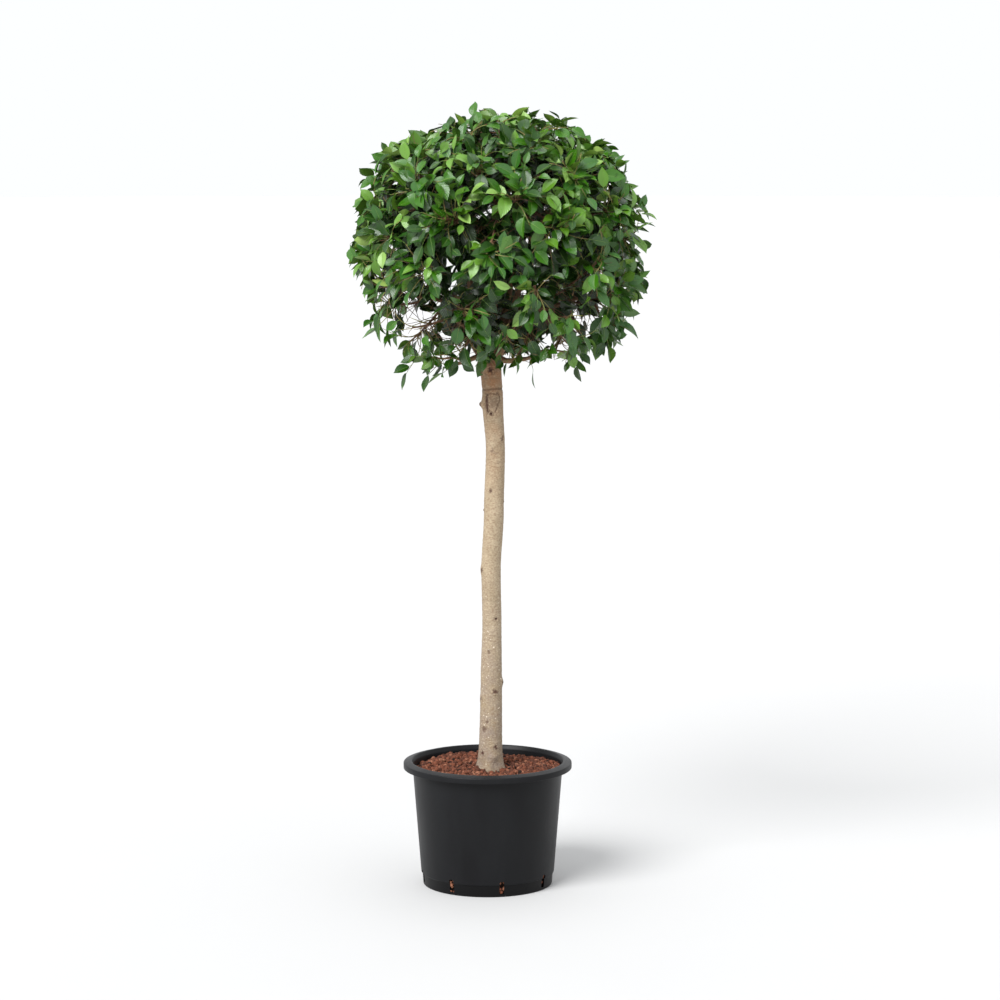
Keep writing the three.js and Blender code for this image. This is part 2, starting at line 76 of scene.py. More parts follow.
def srgb(red, green, blue):
    """A colour as it is seen, 0 to 255 a channel, as the linear values that Blender works in."""
    seen = np.array([red, green, blue]) / 255.0
    return tuple(np.where(seen <= 0.04045, seen / 12.92, ((seen + 0.055) / 1.055) ** 2.4))


# Pot, as in the part's source, and the angle over which an edge stays crisp
POT_HEIGHT = 0.318
POT_FOOT_RADIUS = 0.167
POT_TOP_RADIUS = 0.192
POT_WALL = 0.0035
POT_FLOOR = 0.004
RIM_RADIUS = 0.214
RIM_DROP = 0.005
SKIRT_HEIGHT = 0.019
SKIRT_WALL = 0.003
LIP = {"outer": 0.0045, "inner": 0.0010, "dip": 0.0008, "depth": 0.010, "chamfer": 0.0015}
CORNER_CURVE = 0.0022
FOOT_BAND = {"height": 0.031, "inset": 0.0028, "step": 0.0012}
SLOTS = {"count": 8, "width": 0.012, "height": 0.033, "foot": 0.007, "corner": 0.0035}
SLOT_TURNS = math.radians(12.5) + np.arange(SLOTS["count"]) * 2 * math.pi / SLOTS["count"]
CRISP_EDGE = math.radians(32)

# Granules: their seed, how far they lie above or below the bed's level, the gap round the stem, shares of
# the four tints, the stones behind each slot with their size, and how dark and light a tint's tones are
GRANULE_SEED = 11
GRANULE_LIFT = (-0.0054, 0.0036)
STEM_GAP = 0.0345
GRANULE_SHARES = [0.46, 0.33, 0.07, 0.14]
SLOT_STONES = 11
SLOT_STONE_SIZE = 0.78
GRANULE_TONES = (0.50, 1.24)

# How far granules keep from the wall and stray from their rule, and at a slot how deep and how far aside
GRANULE_GAP = 0.004
GRANULE_STRAY = 0.0015
SLOT_STONE_DEPTHS = (0.0025, 0.0060)
SLOT_STONE_ASIDE = 0.010

# Bed: its gap to the wall, how far its edge lies under GROUND and its top under the granules' level, how
# far it stands back low down, and the heights between which that ends
BED = {"gap": 0.0008, "edge": 0.012, "sunk": 0.0065, "recess": 0.008, "recess_ends": (0.042, 0.056)}

# Stem: height, middle x, middle y and radius, as in the part's source
GROUND = 0.302
STEM_TOP = 1.414
STEM_COURSE = np.array([
    (GROUND, 0.0075, 0.0, 0.0288),
    (0.530, 0.0095, 0.004, 0.0268),
    (0.670, 0.011, 0.001, 0.0248),
    (0.805, 0.009, -0.003, 0.0248),
    (0.955, 0.016, 0.001, 0.0246),
    (1.110, 0.020, 0.004, 0.0238),
    (1.230, 0.0135, 0.001, 0.0264),
    (1.320, 0.009, 0.0, 0.0266),
    (1.370, 0.009, 0.0, 0.026),
    (STEM_TOP, 0.010, 0.0, 0.021),
])
ROOT_FLARE = {"lift": 0.0075, "height": 0.024, "lobes": 5, "lobe_share": 0.3}

# How deep the bark goes into the bed, and the stem's radius where the lines of old cuts lie
STEM_SUNK = 0.018
UPPER_RADIUS = 0.0265

# Knots: height, turn in degrees, lift and spread, as in the part's source
KNOTS = [
    (1.309, -78, 0.006, 0.009), (1.242, 8, 0.0032, 0.015), (1.214, 20, 0.003, 0.013),
    (1.228, -72, 0.0065, 0.012), (1.144, 42, 0.0025, 0.012), (1.111, -20, 0.002, 0.012),
    (0.806, -80, 0.0024, 0.012), (0.518, 84, 0.004, 0.009), (0.496, 21, 0.002, 0.010),
    (0.477, -68, 0.002, 0.012), (0.355, 24, 0.002, 0.012), (0.330, 18, 0.005, 0.012),
]

# Pits and old cuts: height, turn in degrees, depth, radius and how dark. A depth below 0 stands proud
SCARS = [
    (1.226, -78, -0.003, 0.007, 0.75), (1.23, 6, 0.0004, 0.017, 0.44), (1.137, 40, 0.0012, 0.0034, 0.9),
    (0.958, -80, -0.0028, 0.0042, 0.6), (0.98, 72, -0.0024, 0.0042, 0.7),
    (1.009, -22, 0.0008, 0.0048, 0.85),
    (1.314, -2, 0.003, 0.0075, 1.0), (1.204, -10, 0.0045, 0.006, 1.0), (1.228, 2, 0.0012, 0.012, 0.3),
    (1.33, 4, 0.0006, 0.019, 0.45), (1.318, 22, 0.0006, 0.009, 0.4), (1.306, -60, -0.0026, 0.0035, 0.9),
    (1.144, 44, 0.001, 0.006, 0.7), (1.111, -20, 0.0008, 0.0055, 0.6), (0.807, -66, 0.0012, 0.007, 0.8),
    (0.683, 24, 0.0026, 0.004, 1.0), (0.6, -15, 0.0008, 0.006, 0.6), (0.497, 21, 0.0012, 0.0075, 0.9),
    (0.518, 80, 0.001, 0.005, 0.8), (0.477, -66, 0.0008, 0.006, 0.6), (0.42, -22, 0.0007, 0.005, 0.6),
    (0.4, -37, 0.0009, 0.008, 0.7), (0.355, 24, 0.0012, 0.006, 0.9), (0.339, -45, 0.0012, 0.006, 1.0),
    (0.935, 150, 0.0012, 0.006, 0.8), (0.64, 196, 0.0012, 0.007, 0.8), (1.05, 235, 0.001, 0.006, 0.7),
]
# Lines of old cuts: depth, half width, how dark, and the x and height of their points on the front
SCAR_LINES = [
    (0.0036, 0.0046, 1.0, [(-0.0145, 1.25), (-0.016, 1.236), (-0.0155, 1.222), (-0.014, 1.21)]),
    (0.0012, 0.0022, 0.75,
     [(-0.014, 1.252), (-0.004, 1.255), (0.006, 1.253), (0.013, 1.256), (0.0168, 1.248)]),
    (0.0014, 0.0019, 0.9, [(0.0168, 1.248), (0.0165, 1.238), (0.01, 1.222), (0.005, 1.209)]),
    (0.0007, 0.003, 0.46, [(-0.01, 1.246), (0.0, 1.24), (0.01, 1.244), (0.004, 1.23), (-0.004, 1.222)]),
    (0.0008, 0.0014, 0.5, [(-0.016, 1.305), (-0.006, 1.3), (0.005, 1.303), (0.012, 1.309)]),
    (0.0006, 0.0012, 0.45, [(0.004, 1.079), (0.012, 1.081), (0.021, 1.08)]),
    (0.0006, 0.0012, 0.35, [(-0.006, 1.105), (0.002, 1.103), (0.006, 1.105)]),
]
# Level creases: height, depth, half width and how dark
CREASES = [
    (1.265, 0.0014, 0.0026, 0.60), (1.292, 0.0005, 0.0022, 0.15), (1.012, 0.0003, 0.0030, 0.10),
    (0.730, 0.0003, 0.0030, 0.10), (1.337, 0.0006, 0.0025, 0.30),
]

# Clipped head, boughs and hearts of the foliage, as in the part's source
HEAD = {"middle": np.array([0.031, 0.0, 1.637]), "radius": 0.366, "up": 0.325, "down": 0.318,
        "up_power": 2.2, "down_power": 3.0}
SEED = 7
HEART_WANDER = 0.016
BOUGH_STAGGER = 0.009
STOREYS = [
    {"count": 6, "first_turn": 32, "foot": 1.334, "bend": (0.052, 1.356), "reach": (0.084, 1.438),
     "heart": (0.215, 1.492), "foot_radius": 0.011, "tip_radius": 0.006},
    {"count": 5, "first_turn": 0, "foot": 1.366, "bend": (0.060, 1.412), "reach": (0.082, 1.642),
     "heart": (0.205, 1.736), "foot_radius": 0.0095, "tip_radius": 0.006},
]
LEADER = {"heart_z": 1.845, "top_z": 1.752, "bend": (0.014, -0.006, STEM_TOP + 0.17), "drop": 0.015,
          "foot_radius": 0.012, "tip_radius": 0.007}

# Coarse shoots: how many, and how far they reach as a share of the clipped outline
SHOOTS = 66
SHOOT_SHARE = 0.87

# Where the camera stands, in front of the plant
EYE = np.array([0.0315, -8.0, 1.98])

# Where sky shows through the head or hollows its outline: x and z in the plane y = 0, and half sizes
OPENINGS = [
    (-0.176, 1.448, 0.034, 0.020), (-0.142, 1.424, 0.016, 0.010), (-0.205, 1.395, 0.012, 0.016),
    (-0.240, 1.452, 0.010, 0.016), (-0.098, 1.396, 0.010, 0.009), (-0.075, 1.356, 0.022, 0.010),
    (-0.174, 1.358, 0.010, 0.016), (-0.040, 1.340, 0.018, 0.012), (-0.152, 1.530, 0.012, 0.006),
    (0.147, 1.390, 0.018, 0.016), (0.185, 1.374, 0.024, 0.012), (0.255, 1.432, 0.010, 0.012),
    (0.282, 1.466, 0.010, 0.010), (0.062, 1.346, 0.040, 0.009), (-0.266, 1.560, 0.006, 0.012),
    (-0.238, 1.620, 0.006, 0.016), (-0.255, 1.492, 0.016, 0.008), (-0.036, 1.524, 0.008, 0.007),
    (0.162, 1.652, 0.009, 0.010), (0.225, 1.400, 0.010, 0.010), (-0.120, 1.478, 0.008, 0.006),
    (-0.165, 1.948, 0.065, 0.048), (-0.075, 1.985, 0.055, 0.048), (0.060, 1.990, 0.035, 0.045),
    (0.262, 1.940, 0.042, 0.052), (0.144, 1.975, 0.018, 0.048), (-0.371, 1.690, 0.043, 0.060),
    (-0.366, 1.525, 0.050, 0.045), (-0.330, 1.462, 0.044, 0.030), (0.392, 1.795, 0.046, 0.030),
    (0.166, 1.314, 0.034, 0.022), (0.012, 1.978, 0.020, 0.020), (-0.190, 1.405, 0.018, 0.012),
    (0.120, 1.440, 0.007, 0.006), (0.240, 1.545, 0.007, 0.006), (-0.060, 1.420, 0.007, 0.008),
    (-0.222, 1.560, 0.007, 0.009), (-0.163, 1.562, 0.010, 0.006), (-0.186, 1.492, 0.010, 0.008),
    (-0.150, 1.480, 0.010, 0.007), (-0.120, 1.452, 0.008, 0.006), (-0.210, 1.480, 0.012, 0.006),
    (-0.172, 1.408, 0.014, 0.010), (0.222, 1.448, 0.008, 0.008), (0.262, 1.498, 0.008, 0.007),
    (0.012, 1.304, 0.032, 0.018),
]

# Limbs that show under the head: start, bend, end, and the radius at each end
LOW_LIMBS = [
    ((0.009, 0.0, 1.350), (-0.052, -0.046, 1.346), (-0.094, -0.076, 1.322), 0.0085, 0.0030),
    ((0.009, 0.0, 1.344), (0.062, -0.052, 1.326), (0.138, -0.095, 1.366), 0.0090, 0.0035),
    ((0.138, -0.095, 1.366), (0.164, -0.104, 1.372), (0.192, -0.120, 1.366), 0.0035, 0.0016),
    ((-0.060, -0.052, 1.342), (-0.100, -0.080, 1.352), (-0.150, -0.104, 1.350), 0.0040, 0.0014),
    ((0.009, 0.0, 1.372), (0.040, -0.080, 1.392), (0.098, -0.150, 1.452), 0.0090, 0.0040),
    ((0.009, 0.0, 1.380), (-0.040, -0.085, 1.404), (-0.082, -0.160, 1.456), 0.0085, 0.0040),
]

# Sprays that stand out of the clipped outline: root, tip, leaves and which of the leaf tints
SPRAYS = [
    ((-0.062, -0.030, 1.905), (-0.036, -0.030, 1.934), 1, 1),
    ((-0.266, -0.060, 1.636), (-0.300, -0.055, 1.618), 5, 4),
    ((-0.266, -0.020, 1.604), (-0.299, -0.030, 1.584), 5, 3),
    ((-0.270, -0.080, 1.618), (-0.302, -0.085, 1.602), 4, 2),
    ((-0.266, -0.100, 1.602), (-0.300, -0.105, 1.588), 4, 4),
    ((-0.268, -0.040, 1.622), (-0.303, -0.045, 1.606), 4, 3),
    ((-0.150, -0.060, 1.380), (-0.196, -0.070, 1.318), 2, 0),
    ((-0.104, -0.080, 1.350), (-0.142, -0.085, 1.312), 3, 0),
    ((-0.085, -0.080, 1.330), (-0.104, -0.085, 1.316), 1, 1),
    ((0.200, -0.060, 1.400), (0.222, -0.060, 1.335), 2, 0),
    ((0.106, -0.085, 1.345), (0.112, -0.090, 1.326), 1, 0),
    ((0.290, -0.050, 1.430), (0.300, -0.055, 1.385), 2, 1),
    ((0.330, 0.000, 1.700), (0.376, 0.000, 1.702), 2, 4),
    ((0.340, -0.020, 1.665), (0.382, -0.020, 1.668), 2, 2),
    ((0.160, 0.000, 1.900), (0.176, -0.010, 1.924), 2, 4),
    ((-0.250, -0.050, 1.440), (-0.272, -0.050, 1.428), 2, 1),
    ((0.330, -0.020, 1.560), (0.362, -0.020, 1.536), 3, 1),
    ((0.315, 0.000, 1.500), (0.340, 0.000, 1.478), 3, 0),
    ((-0.060, -0.060, 1.345), (-0.086, -0.095, 1.350), 4, 0),
    ((-0.094, -0.076, 1.322), (-0.124, -0.095, 1.346), 4, 1),
    ((-0.130, -0.095, 1.350), (-0.168, -0.110, 1.356), 4, 0),
    ((-0.140, -0.095, 1.352), (-0.150, -0.120, 1.372), 3, 1),
    ((-0.030, -0.110, 1.390), (-0.014, -0.130, 1.368), 2, 1),
    ((0.030, -0.110, 1.395), (0.034, -0.130, 1.372), 1, 1),
]

# Wood: the rings along each kind, and radii at the foot and at the tip. Boughs have theirs in the tables
BOUGH_RINGS, BOUGH_SIDES = 26, 14
SHOOT_RADII, SHOOT_RINGS = (0.0040, 0.0020), 9
TWIG_RADII, TWIG_RINGS = (0.0016, 0.0008), 6
BARE_TWIG_RADII, BARE_TWIG_RINGS = (0.0012, 0.0005), 5
STALK_RADIUS, STALK_LENGTHS, STALK_RINGS = 0.0007, (0.006, 0.012), 3

# Leafy twigs: the furthest share of the outline where they end, how far inwards ends go, and the power
# that draws them outwards. Then how much a twig bends along its limb, and along its own run
TWIG_ENDS = {"furthest": 0.965, "inwards": 0.40, "power": 1.7}
TWIG_BEND = (0.28, 0.34)

# Bare twigs: how long they are, and the share of the outline past which one is made short
BARE_TWIG_LENGTHS = (0.04, 0.13)
BARE_TWIG_REACH = 0.93

# Share of a twig that is bare from its foot, and the share of leaves that fail high up and low down
BARE_FOOT = 0.12
SPARSE_HIGH, SPARSE_LOW = 0.04, 0.56

# One leaf's outline: share of the length, and half width as a share of the widest
LEAF_STATIONS = np.array([0.0, 0.09, 0.25, 0.45, 0.64, 0.80, 0.91, 1.0])
LEAF_OUTLINE = np.array([0.0, 0.46, 0.86, 1.0, 0.88, 0.54, 0.20, 0.0])
LEAF_COLUMNS = np.array([-1.0, -0.5, 0.0, 0.0, 0.5, 1.0])
RIB = {"half_width": 0.00040, "lift": 0.00015, "height": 0.00045}

# A leaf's length on a standing spray, as a share of the mean length
SPRAY_LEAF = 0.85

# A leaf's angle from its twig in radians, at the tip and elsewhere, and how much both spread
TIP_OPENING, SIDE_OPENING, OPENING_SPREAD = 0.35, 1.05, 0.28

# Blades: the fold's range, and the middle and spread of the arch, of the sway and of the wave
FOLD_RANGE = (0.12, 0.45)
ARCH, SWAY, WAVE = (0.20, 0.13), (0, 0.09), (0, 0.020)

# How far a leaf may stand out of the part's box: at its tip, and at its middle
BOX_MARGINS = [(1.0, 0.029), (0.5, 0.016)]

# Leaf tints: name, upper face, underside and share of the sprays. An underside is paler as real ones are,
# and paler still as painted light for light shining through the leaf
TINTS = [
    ("leaves_deep", srgb(27, 64, 4), srgb(56, 92, 24), 0.27),
    ("leaves_full", srgb(46, 94, 6), srgb(76, 110, 34), 0.31),
    ("leaves_cool", srgb(44, 88, 26), srgb(76, 110, 52), 0.16),
    ("leaves_warm", srgb(71, 112, 22), srgb(98, 130, 46), 0.14),
    ("leaves_fresh", srgb(92, 134, 46), srgb(116, 148, 62), 0.08),
    ("leaves_young", srgb(120, 156, 74), srgb(140, 168, 86), 0.04),
    # The inner tint is painted shade deep inside the head, with the darker colour of older leaves
    ("leaves_inner", srgb(18, 42, 4), srgb(38, 58, 14), 0.0),
]

# The tint of inner leaves, painted shade with the darker colour of older leaves, and the paler tint that
# each one turns to high up, painted light from above
INNER_TINT = 6
PALER_TINT = np.array([1, 3, 3, 4, 4, 5, 6])

# Where tints change, as painted shade inside and low down and painted light high up: leaves inside this
# share of the outline, low twigs, and high twigs
INNER_SHARE = 0.80
DEEPER_BELOW = 1.47
PALER_ABOVE = 1.68

# The share of low twigs and of high twigs that change, and of single leaves that take any tint
DEEPER_SHARE = 0.8
PALER_SHARE = 0.36
SWAPPED_SHARE = 0.14


# ---------------------------------------------------------------- numbers and vectors


def seeded_random(seed):
    """The part's own seeded rule for numbers from 0 to 1, so that hearts fall in the same places."""
    whole = 0xFFFFFFFF
    state = seed & whole

    def draw():
        nonlocal state
        state = (state + 0x6D2B79F5) & whole
        t = state
        t = ((t ^ (t >> 15)) * (t | 1)) & whole
        t ^= (t + (((t ^ (t >> 7)) * (t | 61)) & whole)) & whole
        return (t ^ (t >> 14)) / 4294967296

    return draw


def unit(vectors):
    """Each vector divided by its length."""
    return vectors / np.maximum(np.linalg.norm(vectors, axis=-1, keepdims=True), 1e-9)


def dot(a, b):
    """The dot product along the last axis, kept as an axis."""
    return (a * b).sum(axis=-1, keepdims=True)


def outward(turn):
    """The level direction at a turn: (sin turn, -cos turn, 0)."""
    turn = np.asarray(turn, float)
    return np.stack([np.sin(turn), -np.cos(turn), np.zeros_like(turn)], axis=-1)


def smoothstep(value, low, high):
    """3 s^2 - 2 s^3, where s runs from 0 at low to 1 at high."""
    share = np.clip((value - low) / (high - low), 0.0, 1.0)
    return share * share * (3.0 - 2.0 * share)


def ripples(points, size, count, seed):
    """Smooth noise, mostly from -1 to 1: count sines added up, which run in random directions.

    Each wave is 0.7 to 1.5 times size long, and the sum is divided by the square root of count.
    """
    rng = np.random.default_rng(seed)
    total = np.zeros(points.shape[:-1])
    for _ in range(count):
        direction = unit(rng.normal(size=3))
        pace = 2 * math.pi / (size * rng.uniform(0.7, 1.5))
        total += np.sin(points @ direction * pace + rng.uniform(0, 2 * math.pi))
    return total / math.sqrt(count)


def bezier(start, bend, end, shares):
    """(1-t)^2 start + 2 t (1-t) bend + t^2 end, for whole arrays of limbs at once."""
    t = shares[:, None]
    return (
        start[..., None, :] * (1 - t) ** 2
        + bend[..., None, :] * (2 * t * (1 - t))
        + end[..., None, :] * t**2
    )


def head_share(points):
    """0 at the head's middle and 1 on its clipped outline: (out^p + height^p)^(1/p), with p by the half."""
    away = points - HEAD["middle"]
    above = away[..., 2] > 0
    power = np.where(above, HEAD["up_power"], HEAD["down_power"])
    height = np.abs(away[..., 2]) / np.where(above, HEAD["up"], HEAD["down"])
    out = np.hypot(away[..., 0], away[..., 1]) / HEAD["radius"]
    return (out**power + height**power) ** (1 / power)


def spread_over_head(total, shares):
    """Points spread evenly over the head by the golden turn, each at its share of the outline."""
    i = np.arange(total)
    height = 1 - 2 * (i + 0.5) / total
    flat = np.sqrt(1 - height**2)
    direction = outward(i * GOLDEN_TURN) * flat[:, None] + height[:, None] * UP
    reach = shares / head_share(HEAD["middle"] + direction)
    return HEAD["middle"] + direction * reach[:, None]


# ---------------------------------------------------------------- meshes


def new_object(name, data):
    """An object at the origin, linked to the scene."""
    made = bpy.data.objects.new(name, data)
    bpy.context.scene.collection.objects.link(made)
    return made


def add_piece(name, points, faces, material, slot, masks=None, uv=None):
    """Puts points (n, 3) and a list of face arrays (m, 3 or 4) into a mesh that rides with the part.

    masks holds a float for each point by name, and uv holds two numbers for each point.
    """
    mesh = bpy.data.meshes.new(name)
    points = np.ascontiguousarray(points, np.float32).reshape(-1, 3)
    corners = np.concatenate([block.ravel() for block in faces]).astype(np.int32)
    sides = np.concatenate([np.full(len(block), block.shape[1]) for block in faces])
    mesh.vertices.add(len(points))
    mesh.vertices.foreach_set("co", points.ravel())
    mesh.loops.add(len(corners))
    mesh.loops.foreach_set("vertex_index", corners)
    mesh.polygons.add(len(sides))
    mesh.polygons.foreach_set("loop_start", (np.cumsum(sides) - sides).astype(np.int32))
    mesh.polygons.foreach_set("use_smooth", np.ones(len(sides), bool))
    mesh.update(calc_edges=True)
    for mask, values in (masks or {}).items():
        layer = mesh.attributes.new(mask, "FLOAT", "POINT")
        layer.data.foreach_set("value", np.ravel(values).astype(np.float32))
    if uv is not None:
        layer = mesh.uv_layers.new(name="uv_surface")
        layer.data.foreach_set("uv", np.ascontiguousarray(uv[corners], np.float32).ravel())
    mesh.validate()
    mesh.materials.append(material)
    piece = new_object(name, mesh)
    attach(piece, "root")
    return piece


def wrapped_faces(rings, sides):
    """Four-sided faces of a grid of rings, each closed round its sides."""
    ring, side = np.meshgrid(np.arange(rings - 1), np.arange(sides), indexing="ij")
    after = (side + 1) % sides
    near, far = ring * sides, (ring + 1) * sides
    return np.stack([near + side, near + after, far + after, far + side], axis=-1).reshape(-1, 4)


def end_faces(rings, sides):
    """Triangles that close the first and the last ring, round two points that come after the rings."""
    side = np.arange(sides)
    after = (side + 1) % sides
    last = (rings - 1) * sides
    foot = np.stack([np.full(sides, rings * sides), after, side], axis=-1)
    tip = np.stack([np.full(sides, rings * sides + 1), last + side, last + after], axis=-1)
    return np.concatenate([foot, tip])


def many(faces, copies, stride):
    """The same faces for each of many copies whose points follow each other."""
    return (faces[None] + (np.arange(copies) * stride)[:, None, None]).reshape(-1, faces.shape[1])


def frames_along(paths):
    """At each point of each path: its direction, and two directions square to it and to each other."""
    ahead = unit(np.gradient(paths, axis=1))
    run = paths[:, -1] - paths[:, 0]
    start = np.eye(3)[np.abs(run).argmin(axis=1)][:, None, :]
    across = unit(start - dot(start, ahead) * ahead)
    return ahead, across, np.cross(ahead, across)


def limbs(paths, radii, sides):
    """Closed tapering limbs: rings of radius r round each path, with a point at each end.

    A ring's point is path + r (cos a * across + sin a * over). paths is (limbs, rings, 3).
    """
    count, rings = radii.shape
    across, over = (axis[:, :, None] for axis in frames_along(paths)[1:])
    angle = (np.arange(sides) * 2 * math.pi / sides)[:, None]
    circle = np.cos(angle) * across + np.sin(angle) * over
    points = paths[:, :, None] + radii[:, :, None, None] * circle
    body = points.reshape(count, rings * sides, 3)
    ends = np.stack([paths[:, 0], paths[:, -1]], axis=1)
    stride = rings * sides + 2
    faces = [many(part(rings, sides), count, stride) for part in (wrapped_faces, end_faces)]
    return np.concatenate([body, ends], axis=1).reshape(-1, 3), faces


def tapered(paths, radii, sides):
    """Limbs whose radius runs evenly from radii[0] at the foot to radii[1] at the tip."""
    return limbs(paths, np.broadcast_to(np.linspace(*radii, paths.shape[1]), paths.shape[:2]), sides)


def joined(parts):
    """Several (points, faces) as one, with each face block renumbered."""
    points, blocks, start = [], [], 0
    for part_points, part_faces in parts:
        points.append(part_points)
        blocks += [block + start for block in part_faces]
        start += len(part_points)
    return np.concatenate(points), blocks


def rounded(profile, radius):
    """A polyline with each inner corner replaced by a short curve that starts radius away from it."""
    profile = np.array(profile)
    points = [profile[0]]
    for before, corner, after in zip(profile[:-2], profile[1:-1], profile[2:]):
        back, on = before - corner, after - corner
        cut = min(radius, 0.45 * np.linalg.norm(back), 0.45 * np.linalg.norm(on))
        start = corner + back / np.linalg.norm(back) * cut
        end = corner + on / np.linalg.norm(on) * cut
        points += list(bezier(start, corner, end, np.linspace(0, 1, 5)))
    points.append(profile[-1])
    return np.array(points)


def turned(profile, sides):
    """A profile of (radius, height) points turned round the Z axis: (r sin a, -r cos a, z)."""
    angle = np.arange(sides) * 2 * math.pi / sides
    radius, height = profile[:, 0, None], profile[:, 1, None]
    points = np.stack([radius * np.sin(angle), -radius * np.cos(angle), height + 0 * angle], axis=-1)
    return points.reshape(-1, 3), wrapped_faces(len(profile), sides)


def tidy_mesh(piece, angle):
    """Merges doubled points, turns all faces outwards and keeps edges sharper than an angle crisp."""
    work = bmesh.new()
    work.from_mesh(piece.data)
    bmesh.ops.remove_doubles(work, verts=work.verts, dist=1e-6)
    bmesh.ops.dissolve_degenerate(work, edges=work.edges, dist=1e-6)
    bmesh.ops.recalc_face_normals(work, faces=work.faces)
    work.to_mesh(piece.data)
    work.free()
    piece.data.set_sharp_from_angle(angle=angle)


# ---------------------------------------------------------------- materials


def set_inputs(tree, node, inputs):
    """Gives each named input of a node a socket to join, a colour or a number."""
    for name, given in inputs.items():
        socket = node.inputs[name]
        if isinstance(given, bpy.types.NodeSocket):
            tree.links.new(given, socket)
        elif socket.type == "RGBA":
            socket.default_value = (*given, 1.0)
        else:
            socket.default_value = given


def add_node(tree, kind, inputs, **choices):
    """A shader node of a kind, with its choices made and its inputs given. Its outputs come back."""
    node = tree.nodes.new("ShaderNode" + kind)
    for name, choice in choices.items():
        setattr(node, name, choice)
    set_inputs(tree, node, inputs)
    return node.outputs


def new_group(name, inputs, outputs):
    """An empty shader node group with named inputs (name, type, default) and outputs (name, type)."""
    tree = bpy.data.node_groups.new(name, "ShaderNodeTree")
    for label, kind, default in inputs:
        socket = tree.interface.new_socket(name=label, in_out="INPUT", socket_type="NodeSocket" + kind)
        if default is not None:
            socket.default_value = default
    for label, kind in outputs:
        tree.interface.new_socket(name=label, in_out="OUTPUT", socket_type="NodeSocket" + kind)
    return tree, tree.nodes.new("NodeGroupInput").outputs, tree.nodes.new("NodeGroupOutput")


def map_range(tree, value, low, high, to_low, to_high):
    """A value carried from low..high to to_low..to_high, and held at their ends."""
    ends = {"Value": value, "From Min": low, "From Max": high, "To Min": to_low, "To Max": to_high}
    return add_node(tree, "MapRange", ends)["Result"]


def mix_colours(tree, factor, first, second):
    """The first colour at factor 0 and the second at 1. Each is a socket or a colour.

    The sockets go by number, because the Mix node has several of one name.
    """
    return add_node(tree, "Mix", {0: factor, 6: first, 7: second}, data_type="RGBA")[2]


def mottle_group():
    """The group mottle: a noise between two colours, with its mask and a height for bumps.

    The mask is 0 where the noise is under 0.5 - contrast, and 1 where it is over 0.5 + contrast.
    """
    if "mottle" in bpy.data.node_groups:
        return bpy.data.node_groups["mottle"]
    tree, given, out = new_group(
        "mottle",
        [("Vector", "Vector", None), ("Scale", "Float", 20.0), ("Detail", "Float", 4.0),
         ("Contrast", "Float", 0.2), ("Dark", "Color", (0, 0, 0, 1)), ("Light", "Color", (1, 1, 1, 1))],
        [("Color", "Color"), ("Mask", "Float"), ("Height", "Float")],
    )
    noise = add_node(tree, "TexNoise", {name: given[name] for name in ("Vector", "Scale", "Detail")})["Fac"]
    ends = [add_node(tree, "Math", {0: 0.5, 1: given["Contrast"]}, operation=operation)[0]
            for operation in ("SUBTRACT", "ADD")]
    mask = map_range(tree, noise, *ends, 0.0, 1.0)
    colour = mix_colours(tree, mask, given["Dark"], given["Light"])
    set_inputs(tree, out, {"Color": colour, "Mask": mask, "Height": noise})
    return tree


def new_material(name):
    """A material with its Principled shader and the Object coordinates that patterns read."""
    material = bpy.data.materials.new(name)
    material.use_nodes = True
    tree = material.node_tree
    return material, tree, tree.nodes["Principled BSDF"], add_node(tree, "TexCoord", {})["Object"]


def stretched(tree, coordinates, upward):
    """Object coordinates scaled along Z, so that a pattern is longer or shorter upwards."""
    return add_node(tree, "Mapping", {"Vector": coordinates, "Scale": (1.0, 1.0, upward)})["Vector"]


def mottled(tree, coordinates, scale, contrast, dark, light, detail=4.0):
    """The mottle group in a material, with its own size and two colours."""
    return add_node(tree, "Group", {
        "Vector": coordinates, "Scale": scale, "Detail": detail, "Contrast": contrast,
        "Dark": dark, "Light": light,
    }, node_tree=mottle_group())


def grain(tree, coordinates, scale, contrast, detail=4.0):
    """The mottle group from black to white, for masks and for heights."""
    return mottled(tree, coordinates, scale, contrast, BLACK, WHITE, detail)


def shade(colour, share):
    """A colour made darker or lighter by a share."""
    return tuple(share * value for value in colour)


def bumped(tree, height, distance, strength, **under):
    """The normal of a Bump node over a height, laid on top of another bump's Normal where one is given."""
    inputs = {"Height": height, "Distance": distance, "Strength": strength, **under}
    return add_node(tree, "Bump", inputs)["Normal"]


def mask_socket(tree, name):
    """A float that the mesh holds for each point."""
    return add_node(tree, "Attribute", {}, attribute_name=name)["Fac"]


def plastic_material(settings):
    """Moulded black plastic: uneven gloss, fine grain, a film of pale dust, painted shade on the foot band.
    """
    material, tree, shader, coordinates = new_material("pot_plastic_finish")
    dust = mottled(tree, stretched(tree, coordinates, 0.35), 14.0, 0.22, settings.plastic, settings.dust)
    # Below the foot band's step the plastic is painted at 0.45 of its colour and has no dust: painted shade
    # for the inset band
    height = add_node(tree, "SeparateXYZ", {0: coordinates})["Z"]
    band = FOOT_BAND["height"]
    above = map_range(tree, height, band - 0.0025, band - 0.0005, 0.0, 1.0)
    fine = grain(tree, coordinates, 420.0, 0.3, detail=2.0)
    set_inputs(tree, shader, {
        "Base Color": mix_colours(tree, above, shade(settings.plastic, 0.45), dust["Color"]),
        "Roughness": map_range(tree, dust["Mask"], 0.0, 1.0, 0.38, 0.54),
        "Specular IOR Level": 0.17,
        "Normal": bumped(tree, fine["Height"], 0.0002, 0.5),
    })
    return material


